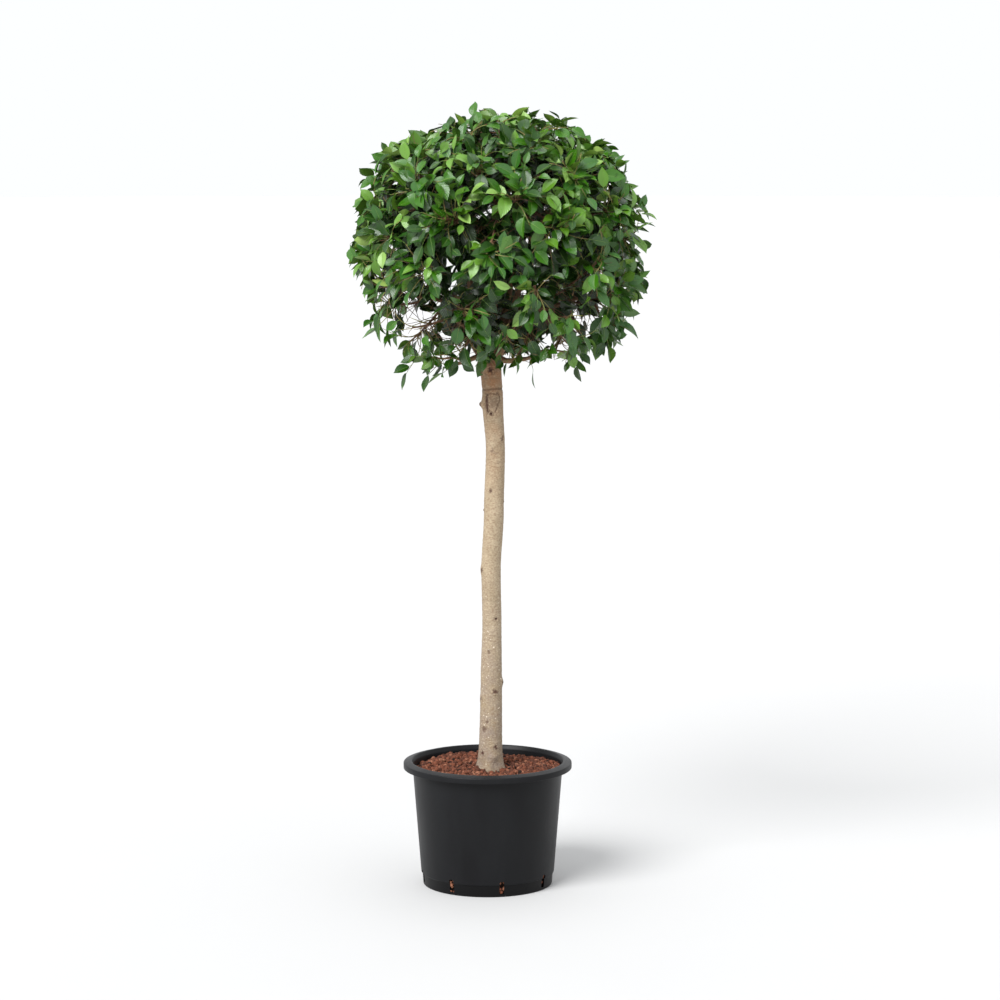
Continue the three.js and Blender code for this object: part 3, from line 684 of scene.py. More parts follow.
def bark_material(settings):
    """Smooth pale bark: browner towards the top, greyer towards the foot, with pores and dark scars."""
    material, tree, shader, coordinates = new_material("stem_bark_finish")
    near_foot = mask_socket(tree, "foot_share")
    middle = mottled(tree, coordinates, 26.0, 0.22, settings.bark_low, settings.bark_high, detail=6.0)
    browner = mottled(tree, coordinates, 40.0, 0.25, settings.bark_top, settings.bark_low)
    greyer = mottled(tree, coordinates, 34.0, 0.22, settings.bark_grey, settings.bark_low, detail=6.0)
    pores = grain(tree, stretched(tree, coordinates, 1.7), 190.0, 0.1, detail=3.0)["Height"]
    lenticels = grain(tree, stretched(tree, coordinates, 1.5), 165.0, 0.1, detail=1.0)["Height"]
    fibres = grain(tree, stretched(tree, coordinates, 2.2), 210.0, 0.2, detail=6.0)["Height"]
    brightest = map_range(tree, near_foot, 0.0, 0.5, 0.10, 0.75)
    layers = [
        (mask_socket(tree, "height_share"), browner["Color"]),
        (near_foot, greyer["Color"]),
        (map_range(tree, pores, 0.46, 0.34, 0.0, 0.26), settings.bark_fleck),
        (map_range(tree, lenticels, 0.69, 0.74, 0.0, brightest), settings.bark_lenticel),
        (map_range(tree, pores, 0.51, 0.64, 0.0, 0.52), settings.bark_pore),
        (mask_socket(tree, "scar"), settings.bark_scar),
    ]
    skin = middle["Color"]
    for mask, colour in layers:
        skin = mix_colours(tree, mask, skin, colour)
    normal = bumped(tree, pores, 0.0010, 0.6, Normal=bumped(tree, fibres, 0.0012, 0.8))
    set_inputs(tree, shader, {"Base Color": skin, "Roughness": 0.85, "Normal": normal})
    return material


def twig_material(name, dark, light, roughness=0.78):
    """Thin young bark, ribs and stalks: two colours in small patches, with fine grain."""
    material, tree, shader, coordinates = new_material(name)
    fine = grain(tree, coordinates, 420.0, 0.2)
    set_inputs(tree, shader, {
        "Base Color": mottled(tree, coordinates, 60.0, 0.2, dark, light)["Color"],
        "Roughness": roughness,
        "Normal": bumped(tree, fine["Height"], 0.0006, 0.7),
    })
    return material


def granule_material(name, dark, light):
    """Rough volcanic stone: two tones and many small pits."""
    material, tree, shader, coordinates = new_material(name)
    pits = grain(tree, coordinates, 700.0, 0.2)
    set_inputs(tree, shader, {
        "Base Color": mottled(tree, coordinates, 150.0, 0.2, dark, light)["Color"],
        "Roughness": 0.95,
        "Specular IOR Level": 0.12,
        "Normal": bumped(tree, pits["Height"], 0.0012, 0.9),
    })
    return material


def leaf_material(name, upper, under, gloss):
    """A waxy leaf: a plain colour above, a paler one below, faint side veins and uneven gloss.

    The paler colour below is partly the underside's own and partly painted light shining through the leaf.
    """
    material, tree, shader, coordinates = new_material(name)
    uneven = grain(tree, coordinates, 55.0, 0.25)["Mask"]
    surface = add_node(tree, "UVMap", {}, uv_map="uv_surface")["UV"]
    veins = {"Vector": surface, "Scale": 3.2, "Distortion": 0.6}
    veins = add_node(tree, "TexWave", veins, wave_type="BANDS", bands_direction="X")["Fac"]
    # Back faces take the underside colour: a paler underside, with painted light for light through the leaf
    backfacing = add_node(tree, "NewGeometry", {})["Backfacing"]
    set_inputs(tree, shader, {
        "Base Color": mix_colours(tree, backfacing, upper, under),
        "Roughness": map_range(tree, uneven, 0.0, 1.0, gloss - 0.06, gloss + 0.14),
        "Specular IOR Level": 0.52,
        "Normal": bumped(tree, veins, 0.0006, 0.45),
    })
    return material


def floor_material(settings):
    """A plain pale matt floor with the faintest mottling."""
    material, tree, shader, coordinates = new_material("floor_finish")
    tones = mottled(tree, coordinates, 2.0, 0.4, shade(settings.floor, 0.985), settings.floor)
    set_inputs(tree, shader, {"Base Color": tones["Color"], "Roughness": 0.9})
    return material


# ---------------------------------------------------------------- pot and granules


def pot_radius(height):
    """The pot's outer radius at a height."""
    return POT_FOOT_RADIUS + (POT_TOP_RADIUS - POT_FOOT_RADIUS) * (height / POT_HEIGHT)


def build_pot(settings):
    """The pot: a rounded profile turned round Z, with drain slots cut by a Boolean modifier."""
    band = FOOT_BAND["height"]
    below = band - FOOT_BAND["step"]
    lip_edge = POT_HEIGHT - RIM_DROP
    skirt_foot = POT_HEIGHT - SKIRT_HEIGHT
    skirt_inside = RIM_RADIUS - SKIRT_WALL
    outside = [
        (0.0, 0.0),
        (pot_radius(0) - FOOT_BAND["inset"], 0.0),
        (pot_radius(below) - FOOT_BAND["inset"], below),
        (pot_radius(band), band),
        (pot_radius(lip_edge - SKIRT_WALL), lip_edge - SKIRT_WALL),
        (skirt_inside - 0.001, lip_edge - SKIRT_WALL - LIP["chamfer"]),
        (skirt_inside, skirt_foot),
        (RIM_RADIUS, skirt_foot),
        (RIM_RADIUS, lip_edge),
        (POT_TOP_RADIUS + LIP["outer"], POT_HEIGHT),
        (POT_TOP_RADIUS + LIP["inner"], POT_HEIGHT - LIP["dip"]),
        (POT_TOP_RADIUS - POT_WALL, POT_HEIGHT - LIP["depth"]),
        (pot_radius(POT_FLOOR) - POT_WALL, POT_FLOOR),
        (0.0, POT_FLOOR),
    ]
    points, faces = turned(rounded(outside, CORNER_CURVE), settings.sides)
    pot = add_piece("pot_shell", points, [faces], plastic_material(settings), "pot_plastic")
    tidy_mesh(pot, CRISP_EDGE)
    cutter = new_object("slot_cutter", slot_plates())
    cut = pot.modifiers.new("drain_slots", "BOOLEAN")
    cut.operation = "DIFFERENCE"
    cut.solver = "EXACT"
    cut.object = cutter
    shape = bpy.data.meshes.new_from_object(pot.evaluated_get(bpy.context.evaluated_depsgraph_get()))
    pot.modifiers.clear()
    old, pot.data = pot.data, shape
    bpy.data.meshes.remove(old)
    bpy.data.objects.remove(cutter)
    shape.name = "pot_shell"
    shape.set_sharp_from_angle(angle=CRISP_EDGE)
    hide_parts("pot")


def slot_plates():
    """Upright plates with rounded corners, one through the wall at each drain slot, in one mesh."""
    corner = SLOTS["corner"]
    aside, top = SLOTS["width"] / 2 - corner, SLOTS["height"] - corner
    quarter = np.linspace(0, math.pi / 2, 6)
    outline = []
    for step, (x, z) in enumerate([(aside, top), (-aside, top), (-aside, corner), (aside, corner)]):
        angle = quarter + step * math.pi / 2
        outline += [*zip(x + corner * np.cos(angle), z + corner * np.sin(angle))]
    work = bmesh.new()
    for turn in SLOT_TURNS:
        side = np.array([math.cos(turn), math.sin(turn), 0.0])
        rings = []
        for depth in (-0.012, 0.012):
            middle = outward(turn) * (pot_radius(SLOTS["foot"]) + depth) + UP * SLOTS["foot"]
            rings.append([work.verts.new(middle + side * x + UP * z) for x, z in outline])
        inner, outer = rings
        work.faces.new(inner)
        work.faces.new(outer[::-1])
        for j in range(len(outline)):
            k = (j + 1) % len(outline)
            work.faces.new([inner[k], inner[j], outer[j], outer[k]])
    bmesh.ops.recalc_face_normals(work, faces=work.faces)
    mesh = bpy.data.meshes.new("slot_plates")
    work.to_mesh(mesh)
    work.free()
    return mesh


def bed_height(x, y):
    """The level of the granules: GROUND and two swells, less a dish before the stem and three dips.

    The dips lie along the wall, at the left and behind at the right, each with smoothstep edges.
    """
    radius = np.hypot(x, y)
    swell = 0.0022 * np.sin(x * 38 + 1.3) * np.cos(y * 33 - 0.4)
    swell += 0.0014 * np.sin(x * 104) * np.cos(y * 91 + 0.9)
    dip = 0.005 * smoothstep(radius, 0.155, 0.183) + 0.005 * smoothstep(-x, 0.125, 0.178)
    behind = smoothstep(x, 0.012, 0.045) * (1 - smoothstep(x, 0.105, 0.150)) * smoothstep(y, 0.050, 0.140)
    dip += 0.0075 * behind
    dish = 0.009 * np.exp(-((x - 0.012) ** 2 + (y + 0.045) ** 2) / 0.060**2)
    return GROUND - 0.0020 + swell - dip - dish


def build_bed(settings):
    """The bed under the granules: a turned plug that follows the pot's inside and ends at bed_height.

    Low down it stands back from the wall, which leaves room for the stones behind the drain slots.
    """
    def inside(height):
        recess = BED["recess"] * (1 - smoothstep(height, *BED["recess_ends"]))
        return pot_radius(height) - POT_WALL - BED["gap"] - recess

    edge = GROUND - BED["edge"]
    floor = POT_FLOOR + 0.001
    profile = [(0.0, floor), (inside(0.006), floor)]
    profile += [(inside(height), height) for height in np.linspace(0.02, edge, 22)]
    profile += [(radius, GROUND) for radius in np.linspace(inside(edge), 0.0, 26)[1:]]
    points, faces = turned(np.array(profile), 96)
    top = points[:, 2] > GROUND - 0.001
    points[top, 2] = bed_height(points[top, 0], points[top, 1]) - BED["sunk"]
    # The bed's colour is dark soil and also painted shade: it shows as the dark gaps between granules and
    # behind the drain slots
    soil = granule_material("soil_finish", settings.soil, settings.dark)
    bed = add_piece("granule_bed", points, [faces], soil, "granules")
    tidy_mesh(bed, math.radians(60))
    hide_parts("granule_fill")


def stones(places, sizes, rng):
    """Rough stones: an icosahedron each, turned at random, with its corners pushed in or out."""
    golden = (1 + math.sqrt(5)) / 2
    signs = [(a, b * golden) for a in (-1.0, 1.0) for b in (-1.0, 1.0)]
    corners = unit(np.array([corner for a, b in signs for corner in ((0, a, b), (a, b, 0), (b, 0, a))]))
    work = bmesh.new()
    for corner in corners:
        work.verts.new(corner)
    bmesh.ops.convex_hull(work, input=work.verts)
    work.verts.index_update()
    faces = np.array([[vert.index for vert in face.verts] for face in work.faces])
    work.free()
    first, second, third = corners[faces].swapaxes(0, 1)
    inward = dot(np.cross(second - first, third - first), first)[:, 0] < 0
    faces[inward] = faces[inward][:, ::-1]
    count = len(places)
    first = unit(rng.normal(size=(count, 3)))
    second = unit(np.cross(first, rng.normal(size=(count, 3))))
    turn = np.stack([first, second, np.cross(first, second)], axis=1)
    stretch = rng.uniform(0.78, 1.22, (count, 1, 3))
    bumps = rng.uniform(0.84, 1.16, (count, 12, 1))
    points = (corners[None] * stretch * bumps) @ turn * (sizes / 2)[:, None, None] + places[:, None]
    return points.reshape(-1, 3), [many(faces, count, 12)]


def build_granules(settings):
    """Granules on the bed by the golden turn, and behind each drain slot, dealt out in four tints."""
    rng = np.random.default_rng(GRANULE_SEED)
    count = settings.granules
    i = np.arange(count)
    reach = pot_radius(GROUND) - POT_WALL - GRANULE_GAP
    radius = reach * np.sqrt((i + 0.5) / count)
    places = outward(i * GOLDEN_TURN) * radius[:, None] + rng.normal(0, GRANULE_STRAY, (count, 3))
    places[:, 2] = bed_height(places[:, 0], places[:, 1]) + rng.uniform(*GRANULE_LIFT, count)
    stem = stem_at(np.array([GROUND]))[0]
    places = places[np.hypot(places[:, 0] - stem[0], places[:, 1] - stem[1]) > STEM_GAP]
    slots = []
    for turn in SLOT_TURNS:
        height = SLOTS["foot"] + rng.uniform(-0.002, SLOTS["height"] + 0.001, SLOT_STONES)
        depth = pot_radius(height) - POT_WALL - rng.uniform(*SLOT_STONE_DEPTHS, SLOT_STONES)
        aside = rng.uniform(-SLOT_STONE_ASIDE, SLOT_STONE_ASIDE, SLOT_STONES)
        spread = turn + aside / POT_FOOT_RADIUS
        slots.append(outward(spread) * depth[:, None] + height[:, None] * UP)
    behind = SLOT_STONES * SLOTS["count"]
    places = np.concatenate([places, *slots])
    sizes = settings.granule_size * rng.uniform(0.65, 1.35, len(places))
    sizes[-behind:] *= SLOT_STONE_SIZE
    tint = rng.choice(4, len(places), p=GRANULE_SHARES)
    # Stones behind the slots take only the red and the pale tint: painted light that keeps them bright in
    # the slots' shade
    tint[-behind:] = rng.choice([0, 3], behind)
    for number, name in enumerate(("red", "brown", "dark", "pale")):
        chosen = tint == number
        points, faces = stones(places[chosen], sizes[chosen], rng)
        wall = pot_radius(points[:, 2]) - POT_WALL - 0.0004
        points[:, :2] *= np.minimum(1, wall / np.hypot(points[:, 0], points[:, 1]))[:, None]
        points[:, 2] = np.maximum(points[:, 2], POT_FLOOR + 0.0005)
        dark, light = (shade(getattr(settings, name), tone) for tone in GRANULE_TONES)
        finish = granule_material(f"granules_{name}_finish", dark, light)
        add_piece(f"granules_{name}", points, faces, finish, "granules")


# ---------------------------------------------------------------- stem and boughs


def stem_at(z):
    """Middle x, middle y and radius of the stem at heights z, smoothly between the named heights."""
    i = np.clip(np.searchsorted(STEM_COURSE[:, 0], z, side="left") - 1, 0, len(STEM_COURSE) - 2)
    low, high = STEM_COURSE[i], STEM_COURSE[i + 1]
    share = smoothstep(z, low[..., 0], high[..., 0])[..., None]
    return low[..., 1:] + (high - low)[..., 1:] * share


def stem_radius(turn, z):
    """The stem's radius: its course, the flare at its root, a slight oval, knots and a rounded head."""
    lobes = 1 + ROOT_FLARE["lobe_share"] * np.cos(ROOT_FLARE["lobes"] * turn + 0.6)
    radius = stem_at(z)[..., 2] + ROOT_FLARE["lift"] * np.exp(-(z - GROUND) / ROOT_FLARE["height"]) * lobes
    radius = radius + 0.0005 * np.sin(2 * turn + z * 11)
    for height, degrees, lift, spread in KNOTS:
        radius = radius + lift * gaussian(turn, z, radius, height, degrees, spread)
    return radius - 0.004 * smoothstep(z, STEM_TOP - 0.014, STEM_TOP) ** 2


def far_squared(turn, z, radius, to_turn, to_z):
    """Squared distance over the stem's surface to a place: (radius * turn between)^2 + (z between)^2."""
    aside = turn - to_turn
    across = radius * np.arctan2(np.sin(aside), np.cos(aside))
    return across**2 + (z - to_z) ** 2


def gaussian(turn, z, radius, height, degrees, spread):
    """exp(-d^2 / spread^2), where d is the distance over the surface from a place on the stem."""
    return np.exp(-far_squared(turn, z, radius, math.radians(degrees), height) / spread**2)


def line_mask(turn, z, radius, points, width):
    """exp(-d^2 / width^2), where d is the distance over the surface to a line on the front."""
    places = [np.array([math.asin(x / UPPER_RADIUS), height]) for x, height in points]
    near = np.full(turn.shape, np.inf)
    for start, end in zip(places[:-1], places[1:]):
        for step in np.linspace(0, 1, 9):
            near = np.minimum(near, far_squared(turn, z, radius, *(start + (end - start) * step)))
    return np.exp(-near / width**2)


def add_marks(turn, z, smooth_radius):
    """The stem's radius with its pits, old cuts and creases, and how dark each place is, from 0 to 1.

    Each mark takes depth * mask off the radius, and a pit gives half as much back round its rim.
    """
    place = outward(turn) * smooth_radius[..., None] + z[..., None] * UP
    pit_edge = 1 + 0.35 * ripples(place, 0.005, 10, 53) + 0.20 * ripples(place, 0.012, 8, 54)
    line_edge = 1 + 0.45 * ripples(place, 0.004, 10, 51) + 0.30 * ripples(place, 0.011, 8, 52)
    pit_edge, line_edge = pit_edge.clip(0.4, 1.8), line_edge.clip(0.25, 2.2)
    radius = smooth_radius
    scar = np.zeros_like(radius)
    for height, degrees, depth, size, darkness in SCARS:
        spot = gaussian(turn, z, smooth_radius, height, degrees, 0.9 * size * pit_edge)
        rim = gaussian(turn, z, smooth_radius, height, degrees, size * 1.7) - spot
        radius = radius + (0.5 * depth * rim - depth * spot)
        scar = np.maximum(scar, darkness * np.clip(1.5 * spot - 0.15, 0, 1))
    for depth, width, darkness, points in SCAR_LINES:
        drawn = line_mask(turn, z, smooth_radius, points, width * line_edge)
        radius = radius - depth * drawn
        scar = np.maximum(scar, darkness * drawn)
    for height, depth, width, darkness in CREASES:
        wander = 0.002 * np.sin(2 * turn + height * 40)
        crease = np.exp(-(((z - height - wander) / width) ** 2))
        radius = radius - depth * crease
        scar = np.maximum(scar, darkness * crease)
    return radius, scar


def build_trunk(settings):
    """The stem with its bark: the part's stem radius, less scars and creases, plus rings and ripples.

    A point at turn a and height z is the middle at z + outward(a) * radius(a, z).
    """
    heights = np.concatenate([
        np.linspace(GROUND - STEM_SUNK, 0.375, 64, endpoint=False),
        np.linspace(0.375, STEM_TOP, 420),
    ])
    sides = settings.sides
    turn, z = np.meshgrid(np.arange(sides) * 2 * math.pi / sides + math.pi, heights)
    level = np.maximum(z, GROUND - 0.010)
    radius, scar = add_marks(turn, z, stem_radius(turn, level))
    base = stem_at(level)[..., :2]
    base = np.concatenate([base, z[..., None]], axis=-1)
    skin = base + outward(turn) * radius[..., None]
    rings = ripples(skin * (0.6, 0.6, 1.0), 0.012, 14, 21)
    fine = ripples(skin * (0.7, 0.7, 1.0), 0.0045, 16, 22)
    radius = radius + settings.relief * (0.55 * rings + 0.45 * fine)
    skin = base + outward(turn) * radius[..., None]
    foot = np.clip(1 - (z - GROUND) / 0.05, 0, 1)
    masks = {
        "scar": np.maximum(scar, 0.35 * foot * (0.5 + 0.5 * ripples(skin, 0.03, 6, 23))),
        "height_share": 0.30 * smoothstep(z, 0.90, 1.20) + 0.70 * smoothstep(z, 1.22, 1.30),
        "foot_share": 1 - smoothstep(z, 0.38, 0.86),
    }
    masks = {name: np.append(values.ravel(), [0.0, 0.0]) for name, values in masks.items()}
    points = np.concatenate([skin.reshape(-1, 3), base[0, :1], base[-1, :1]])
    faces = [part(len(heights), sides) for part in (wrapped_faces, end_faces)]
    trunk = add_piece("stem_bark", points, faces, bark_material(settings), "bark", masks=masks)
    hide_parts("trunk")


def plan_boughs():
    """Every bough's start, bend, end, radii and heart, by the part's own rule and seed."""
    draw = seeded_random(SEED)
    level = HEAD["middle"] * (1, 1, 0)

    def wander():
        return HEART_WANDER * (2 * draw() - 1)

    rows = []
    for storey in STOREYS:
        out, up = storey["heart"]
        for i in range(storey["count"]):
            turn = math.radians(storey["first_turn"]) + i * 2 * math.pi / storey["count"]
            ahead = outward(turn)
            stagger = (i % 2) * BOUGH_STAGGER
            foot_z = storey["foot"] + stagger
            foot = np.append(stem_at(np.array([foot_z]))[0, :2], 0.0)
            rows.append({
                "start": foot + UP * foot_z,
                "bend": foot + ahead * storey["bend"][0] + UP * (storey["bend"][1] + stagger),
                "end": level + ahead * storey["reach"][0] + UP * storey["reach"][1],
                "heart": level + ahead * (out + wander()) + UP * (up + wander()),
                "radii": (storey["foot_radius"], storey["tip_radius"]),
            })
    top = np.append(stem_at(np.array([STEM_TOP]))[0, :2], 0.0)
    rows.append({
        "start": top + UP * (STEM_TOP - LEADER["drop"]),
        "bend": top + LEADER["bend"],
        "end": level + UP * LEADER["top_z"],
        "heart": level + UP * LEADER["heart_z"],
        "radii": (LEADER["foot_radius"], LEADER["tip_radius"]),
    })
    return rows


def bough_paths(plans, rings):
    """Each bough from the stem to its foliage, and on from its tip to the foliage's heart."""
    keys = ("start", "bend", "end", "heart")
    start, bend, end, heart = (np.array([plan[key] for plan in plans]) for key in keys)
    shares = np.linspace(0, 1, rings)
    onward = unit(end - bend)
    return bezier(start, bend, end, shares), bezier(end, end + 0.045 * onward, heart, shares)


def low_limb_paths(rings):
    """The course of each limb that shows under the head."""
    start, bend, end = (np.array([limb[part] for limb in LOW_LIMBS]) for part in (0, 1, 2))
    return bezier(start, bend, end, np.linspace(0, 1, rings))


def build_boughs(settings, plans):
    """Boughs that swell at the stem as a collar, taper to their tips and carry fine ripples.

    The radius runs from foot to tip, times 1 + 0.35 exp(-14 t) at share t, and 0.7 of it at the heart.
    """
    paths, stems = bough_paths(plans, BOUGH_RINGS)
    share = np.linspace(0, 1, BOUGH_RINGS)
    radii = np.array([plan["radii"] for plan in plans])
    thick = (radii[:, :1] + (radii[:, 1:] - radii[:, :1]) * share) * (1 + 0.35 * np.exp(-14 * share))
    thin = radii[:, 1:] * (1 - 0.3 * share)
    whole = np.concatenate([paths, stems[:, 1:]], axis=1)
    radius = np.concatenate([thick, thin[:, 1:]], axis=1) * (1 + 0.05 * ripples(whole, 0.02, 6, 31))
    low = low_limb_paths(whole.shape[1])
    foot, tip = (np.array([limb[part] for limb in LOW_LIMBS])[:, None] for part in (3, 4))
    low_radius = foot + (tip - foot) * np.linspace(0, 1, whole.shape[1])
    low = low + 0.0015 * np.stack([ripples(low, 0.05, 4, seed) for seed in (41, 42, 43)], axis=-1)
    whole = np.concatenate([whole, low])
    radius = np.concatenate([radius, low_radius * (1 + 0.08 * ripples(low, 0.02, 6, 33))])
    points, faces = limbs(whole, radius, BOUGH_SIDES)
    points = points + 0.0002 * ripples(points, 0.006, 10, 32)[:, None]
    finish = twig_material("bough_bark_finish", settings.bough_dark, settings.bough_light)
    boughs = add_piece("bough_bark", points, faces, finish, "young_bark")
    names = [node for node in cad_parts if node.startswith("bough_") or node == "leader"]
    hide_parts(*names)


# ---------------------------------------------------------------- twigs and leaves


def grow_shoots(plans, rings):
    """Coarse shoots that fork off each mass's stem and end near the clipped outline, as in the source.

    Ends are dealt out by the golden turn, and each shoot leaves the stem of the heart next to its end.
    """
    hearts = np.array([plan["heart"] for plan in plans])
    number = np.arange(SHOOTS)
    ends = spread_over_head(SHOOTS, SHOOT_SHARE + 0.03 * np.sin(5.1 * number))
    owner = np.linalg.norm(ends[:, None] - hearts[None], axis=-1).argmin(axis=1)
    _, stems = bough_paths(plans, 21)
    step = (9 + (number * 7) % 12).clip(0, 20)
    roots = stems[owner, step]
    middle = roots + 0.62 * (ends - roots) + (0, 0, -0.012)
    return bezier(roots, middle, ends, np.linspace(0, 1, rings))


def grow_twigs(parents, settings, rng, rings):
    """Finer twigs, and after them one for each spray that stands out of the outline.

    Ends are spread by the golden turn. Each twig forks off the nearest limb point, where points that
    lie further out than its end count as further away, and leaves along that limb's direction.
    """
    total = settings.twigs
    shares = TWIG_ENDS["furthest"] - TWIG_ENDS["inwards"] * rng.random(total) ** TWIG_ENDS["power"]
    ends = spread_over_head(total, shares) + rng.normal(0, 0.008, (total, 3))
    bed = parents.reshape(-1, 3)
    ahead = unit(np.gradient(parents, axis=1)).reshape(-1, 3)
    far = np.linalg.norm(ends[:, None] - bed[None], axis=-1)
    far += 0.5 * np.maximum(0, head_share(bed)[None] - head_share(ends)[:, None] + 0.10)
    near = far.argmin(axis=1)
    start = bed[near]
    run = ends - start
    length = np.linalg.norm(run, axis=1, keepdims=True)
    bend = start + length * (TWIG_BEND[0] * ahead[near] + TWIG_BEND[1] * unit(run))
    bend = bend + rng.normal(0, 0.006, (total, 3))
    twigs = bezier(start, bend, ends, np.linspace(0, 1, rings))
    root, tip = (np.array([spray[part] for spray in SPRAYS]) for part in (0, 1))
    bed = np.concatenate([bed, low_limb_paths(9).reshape(-1, 3)])
    near = np.linalg.norm(root[:, None] - bed[None], axis=-1).argmin(axis=1)
    standing = bezier(bed[near], root, tip, np.linspace(0, 1, rings))
    return np.concatenate([twigs, standing])


def grow_bare_twigs(parents, total, rng, rings):
    """Leafless inner twigs that leave random limb points in random directions, mostly outwards.

    One that would come near the clipped outline is made 0.4 as long.
    """
    bed = parents.reshape(-1, 3)
    start = bed[rng.integers(0, len(bed), total)]
    away = unit(start - HEAD["middle"])
    direction = unit(0.5 * away + 0.8 * unit(rng.normal(size=(total, 3))))
    end = start + direction * rng.uniform(*BARE_TWIG_LENGTHS, (total, 1))
    end = np.where((head_share(end) > BARE_TWIG_REACH)[:, None], start + 0.4 * (end - start), end)
    bend = (start + end) / 2 + rng.normal(0, 0.010, (total, 3))
    return bezier(start, bend, end, np.linspace(0, 1, rings))


def leaf_sites(twigs, settings, rng):
    """Where leaves sit: by the leaf pitch from each twig's tip inwards, turned by the golden turn.

    Twigs that end low carry fewer leaves, and a spray as many as it says. Gives for every leaf its
    root, the twig's direction there, its turn round the twig, its number from the tip and its twig.
    """
    count, rings, _ = twigs.shape
    pitch, most = settings.leaf_pitch, settings.leaves_each
    length = np.linalg.norm(np.diff(twigs, axis=1), axis=-1).sum(axis=1)
    number = np.arange(most)
    share = 1 - (number[None] + rng.uniform(-0.25, 0.25, (count, most))) * pitch / length[:, None]
    share = np.minimum(share, 1.0)
    low_end = smoothstep(HEAD["middle"][2] - twigs[:, -1, 2], -0.06, 0.30)
    sparse = rng.random((count, most)) < SPARSE_HIGH + (SPARSE_LOW - SPARSE_HIGH) * low_end[:, None]
    sparse[count - len(SPRAYS):] = number >= np.array([[leaves] for _, _, leaves, _ in SPRAYS])
    keep = (share > BARE_FOOT) & ~sparse
    place = share.clip(0, 1) * (rings - 1)
    low = np.minimum(place.astype(int), rings - 2)
    part = (place - low)[..., None]
    row = np.arange(count)[:, None]
    root = twigs[row, low] * (1 - part) + twigs[row, low + 1] * part
    ahead = unit(twigs[row, low + 1] - twigs[row, low])
    turn = number[None] * GOLDEN_TURN + rng.uniform(0, 2 * math.pi, (count, 1))
    twig = np.broadcast_to(row, share.shape)
    numbers = np.broadcast_to(number[None], share.shape)
    return root[keep], ahead[keep], turn[keep], numbers[keep], twig[keep]


def every_third(count):
    """True for the first of each three, of count things."""
    return np.arange(count) % 3 == 0


def open_to_sky(points, rng):
    """True where sky shows along the camera's line of sight: (x / half_x)^2 + (z / half_z)^2 < about 1."""
    seen = EYE + (points - EYE) * (-EYE[1] / (points[:, 1:2] - EYE[1]))
    bare = np.zeros(len(points), bool)
    for x, z, half_x, half_z in OPENINGS:
        away = ((seen[:, 0] - x) / half_x) ** 2 + ((seen[:, 2] - z) / half_z) ** 2
        bare |= away < rng.uniform(0.7, 1.3, len(points))
    return bare


def aim_leaves(root, ahead, turn, number, rng):
    """Each leaf's direction, side and upper face, as three unit vectors.

    The leaf opens from its twig, less at the tip, and droops more low down. Its upper face turns to
    the light, which is the direction out of the head, level for the most part, plus UP.
    """
    total = len(root)
    aside = unit(np.cross(ahead, UP) + 1e-6)
    over = np.cross(aside, ahead)
    across = np.cos(turn)[:, None] * aside + np.sin(turn)[:, None] * over
    opening = np.where(number == 0, TIP_OPENING, SIDE_OPENING) + rng.normal(0, OPENING_SPREAD, total)
    along = np.cos(opening)[:, None] * ahead + np.sin(opening)[:, None] * across
    out = unit(root - HEAD["middle"])
    low = smoothstep(HEAD["middle"][2] - root[:, 2], -0.20, 0.25)[:, None]
    droop = (0.05 + 0.55 * low) * rng.uniform(0.2, 1.6, (total, 1))
    along = unit(along + 0.30 * out - UP * droop)
    light = 0.70 * out * (1, 1, 0.6) + 0.70 * UP + 0.42 * rng.normal(size=(total, 3))
    face = unit(light - dot(light, along) * along)
    return along, np.cross(face, along), face


def blades(root, along, side, face, length, width, rng):
    """Leaf blades as two halves each, folded at the midrib. The last result is the line of each fold.

    At share t of the length L and s of the half width w(t), a point is root + L t along + s w(t) side
    + (fold |s| w(t) - arch t^2 L + wave) face, and the tip swings aside by sway t^2 L.
    """
    total = len(root)
    t = LEAF_STATIONS[None, :, None]
    s = LEAF_COLUMNS[None, None, :]
    half = (width / 2)[:, None, None] * LEAF_OUTLINE[None, :, None]
    run = length[:, None, None]
    each = (total, 1, 1)
    fold = rng.uniform(*FOLD_RANGE, each)
    arch = rng.normal(*ARCH, each)
    sway = rng.normal(*SWAY, each)
    wave = rng.normal(*WAVE, each) * run
    phase = rng.uniform(0, 2 * math.pi, each)
    forward = run * t * (1 - 0.3 * np.abs(arch) * t)
    sideways = s * half + sway * t**2 * run
    lift = fold * np.abs(s) ** 1.4 * half - arch * t**2 * run + wave * np.abs(s) * np.sin(7 * t + phase)
    points = (
        root[:, None, None]
        + forward[..., None] * along[:, None, None]
        + sideways[..., None] * side[:, None, None]
        + lift[..., None] * face[:, None, None]
    )
    rows, columns = len(LEAF_STATIONS), len(LEAF_COLUMNS)
    row, column = np.meshgrid(np.arange(rows - 1), [0, 1, 3, 4], indexing="ij")
    corner = row * columns + column
    quads = np.stack([corner, corner + columns, corner + columns + 1, corner + 1], axis=-1)
    first, last = row == 0, row == rows - 2
    blocks = [quads[~(first | last)], quads[first][:, [0, 1, 2]], quads[last][:, [0, 1, 3]]]
    faces = [many(block, total, rows * columns) for block in blocks]
    uv = np.stack(np.broadcast_arrays(t - 0.3 * np.abs(s), s * 0.5 + 0.5), axis=-1)
    uv = np.broadcast_to(uv, (total, rows, columns, 2))
    return points.reshape(-1, 3), faces, uv.reshape(-1, 2), points[:, :, 2]


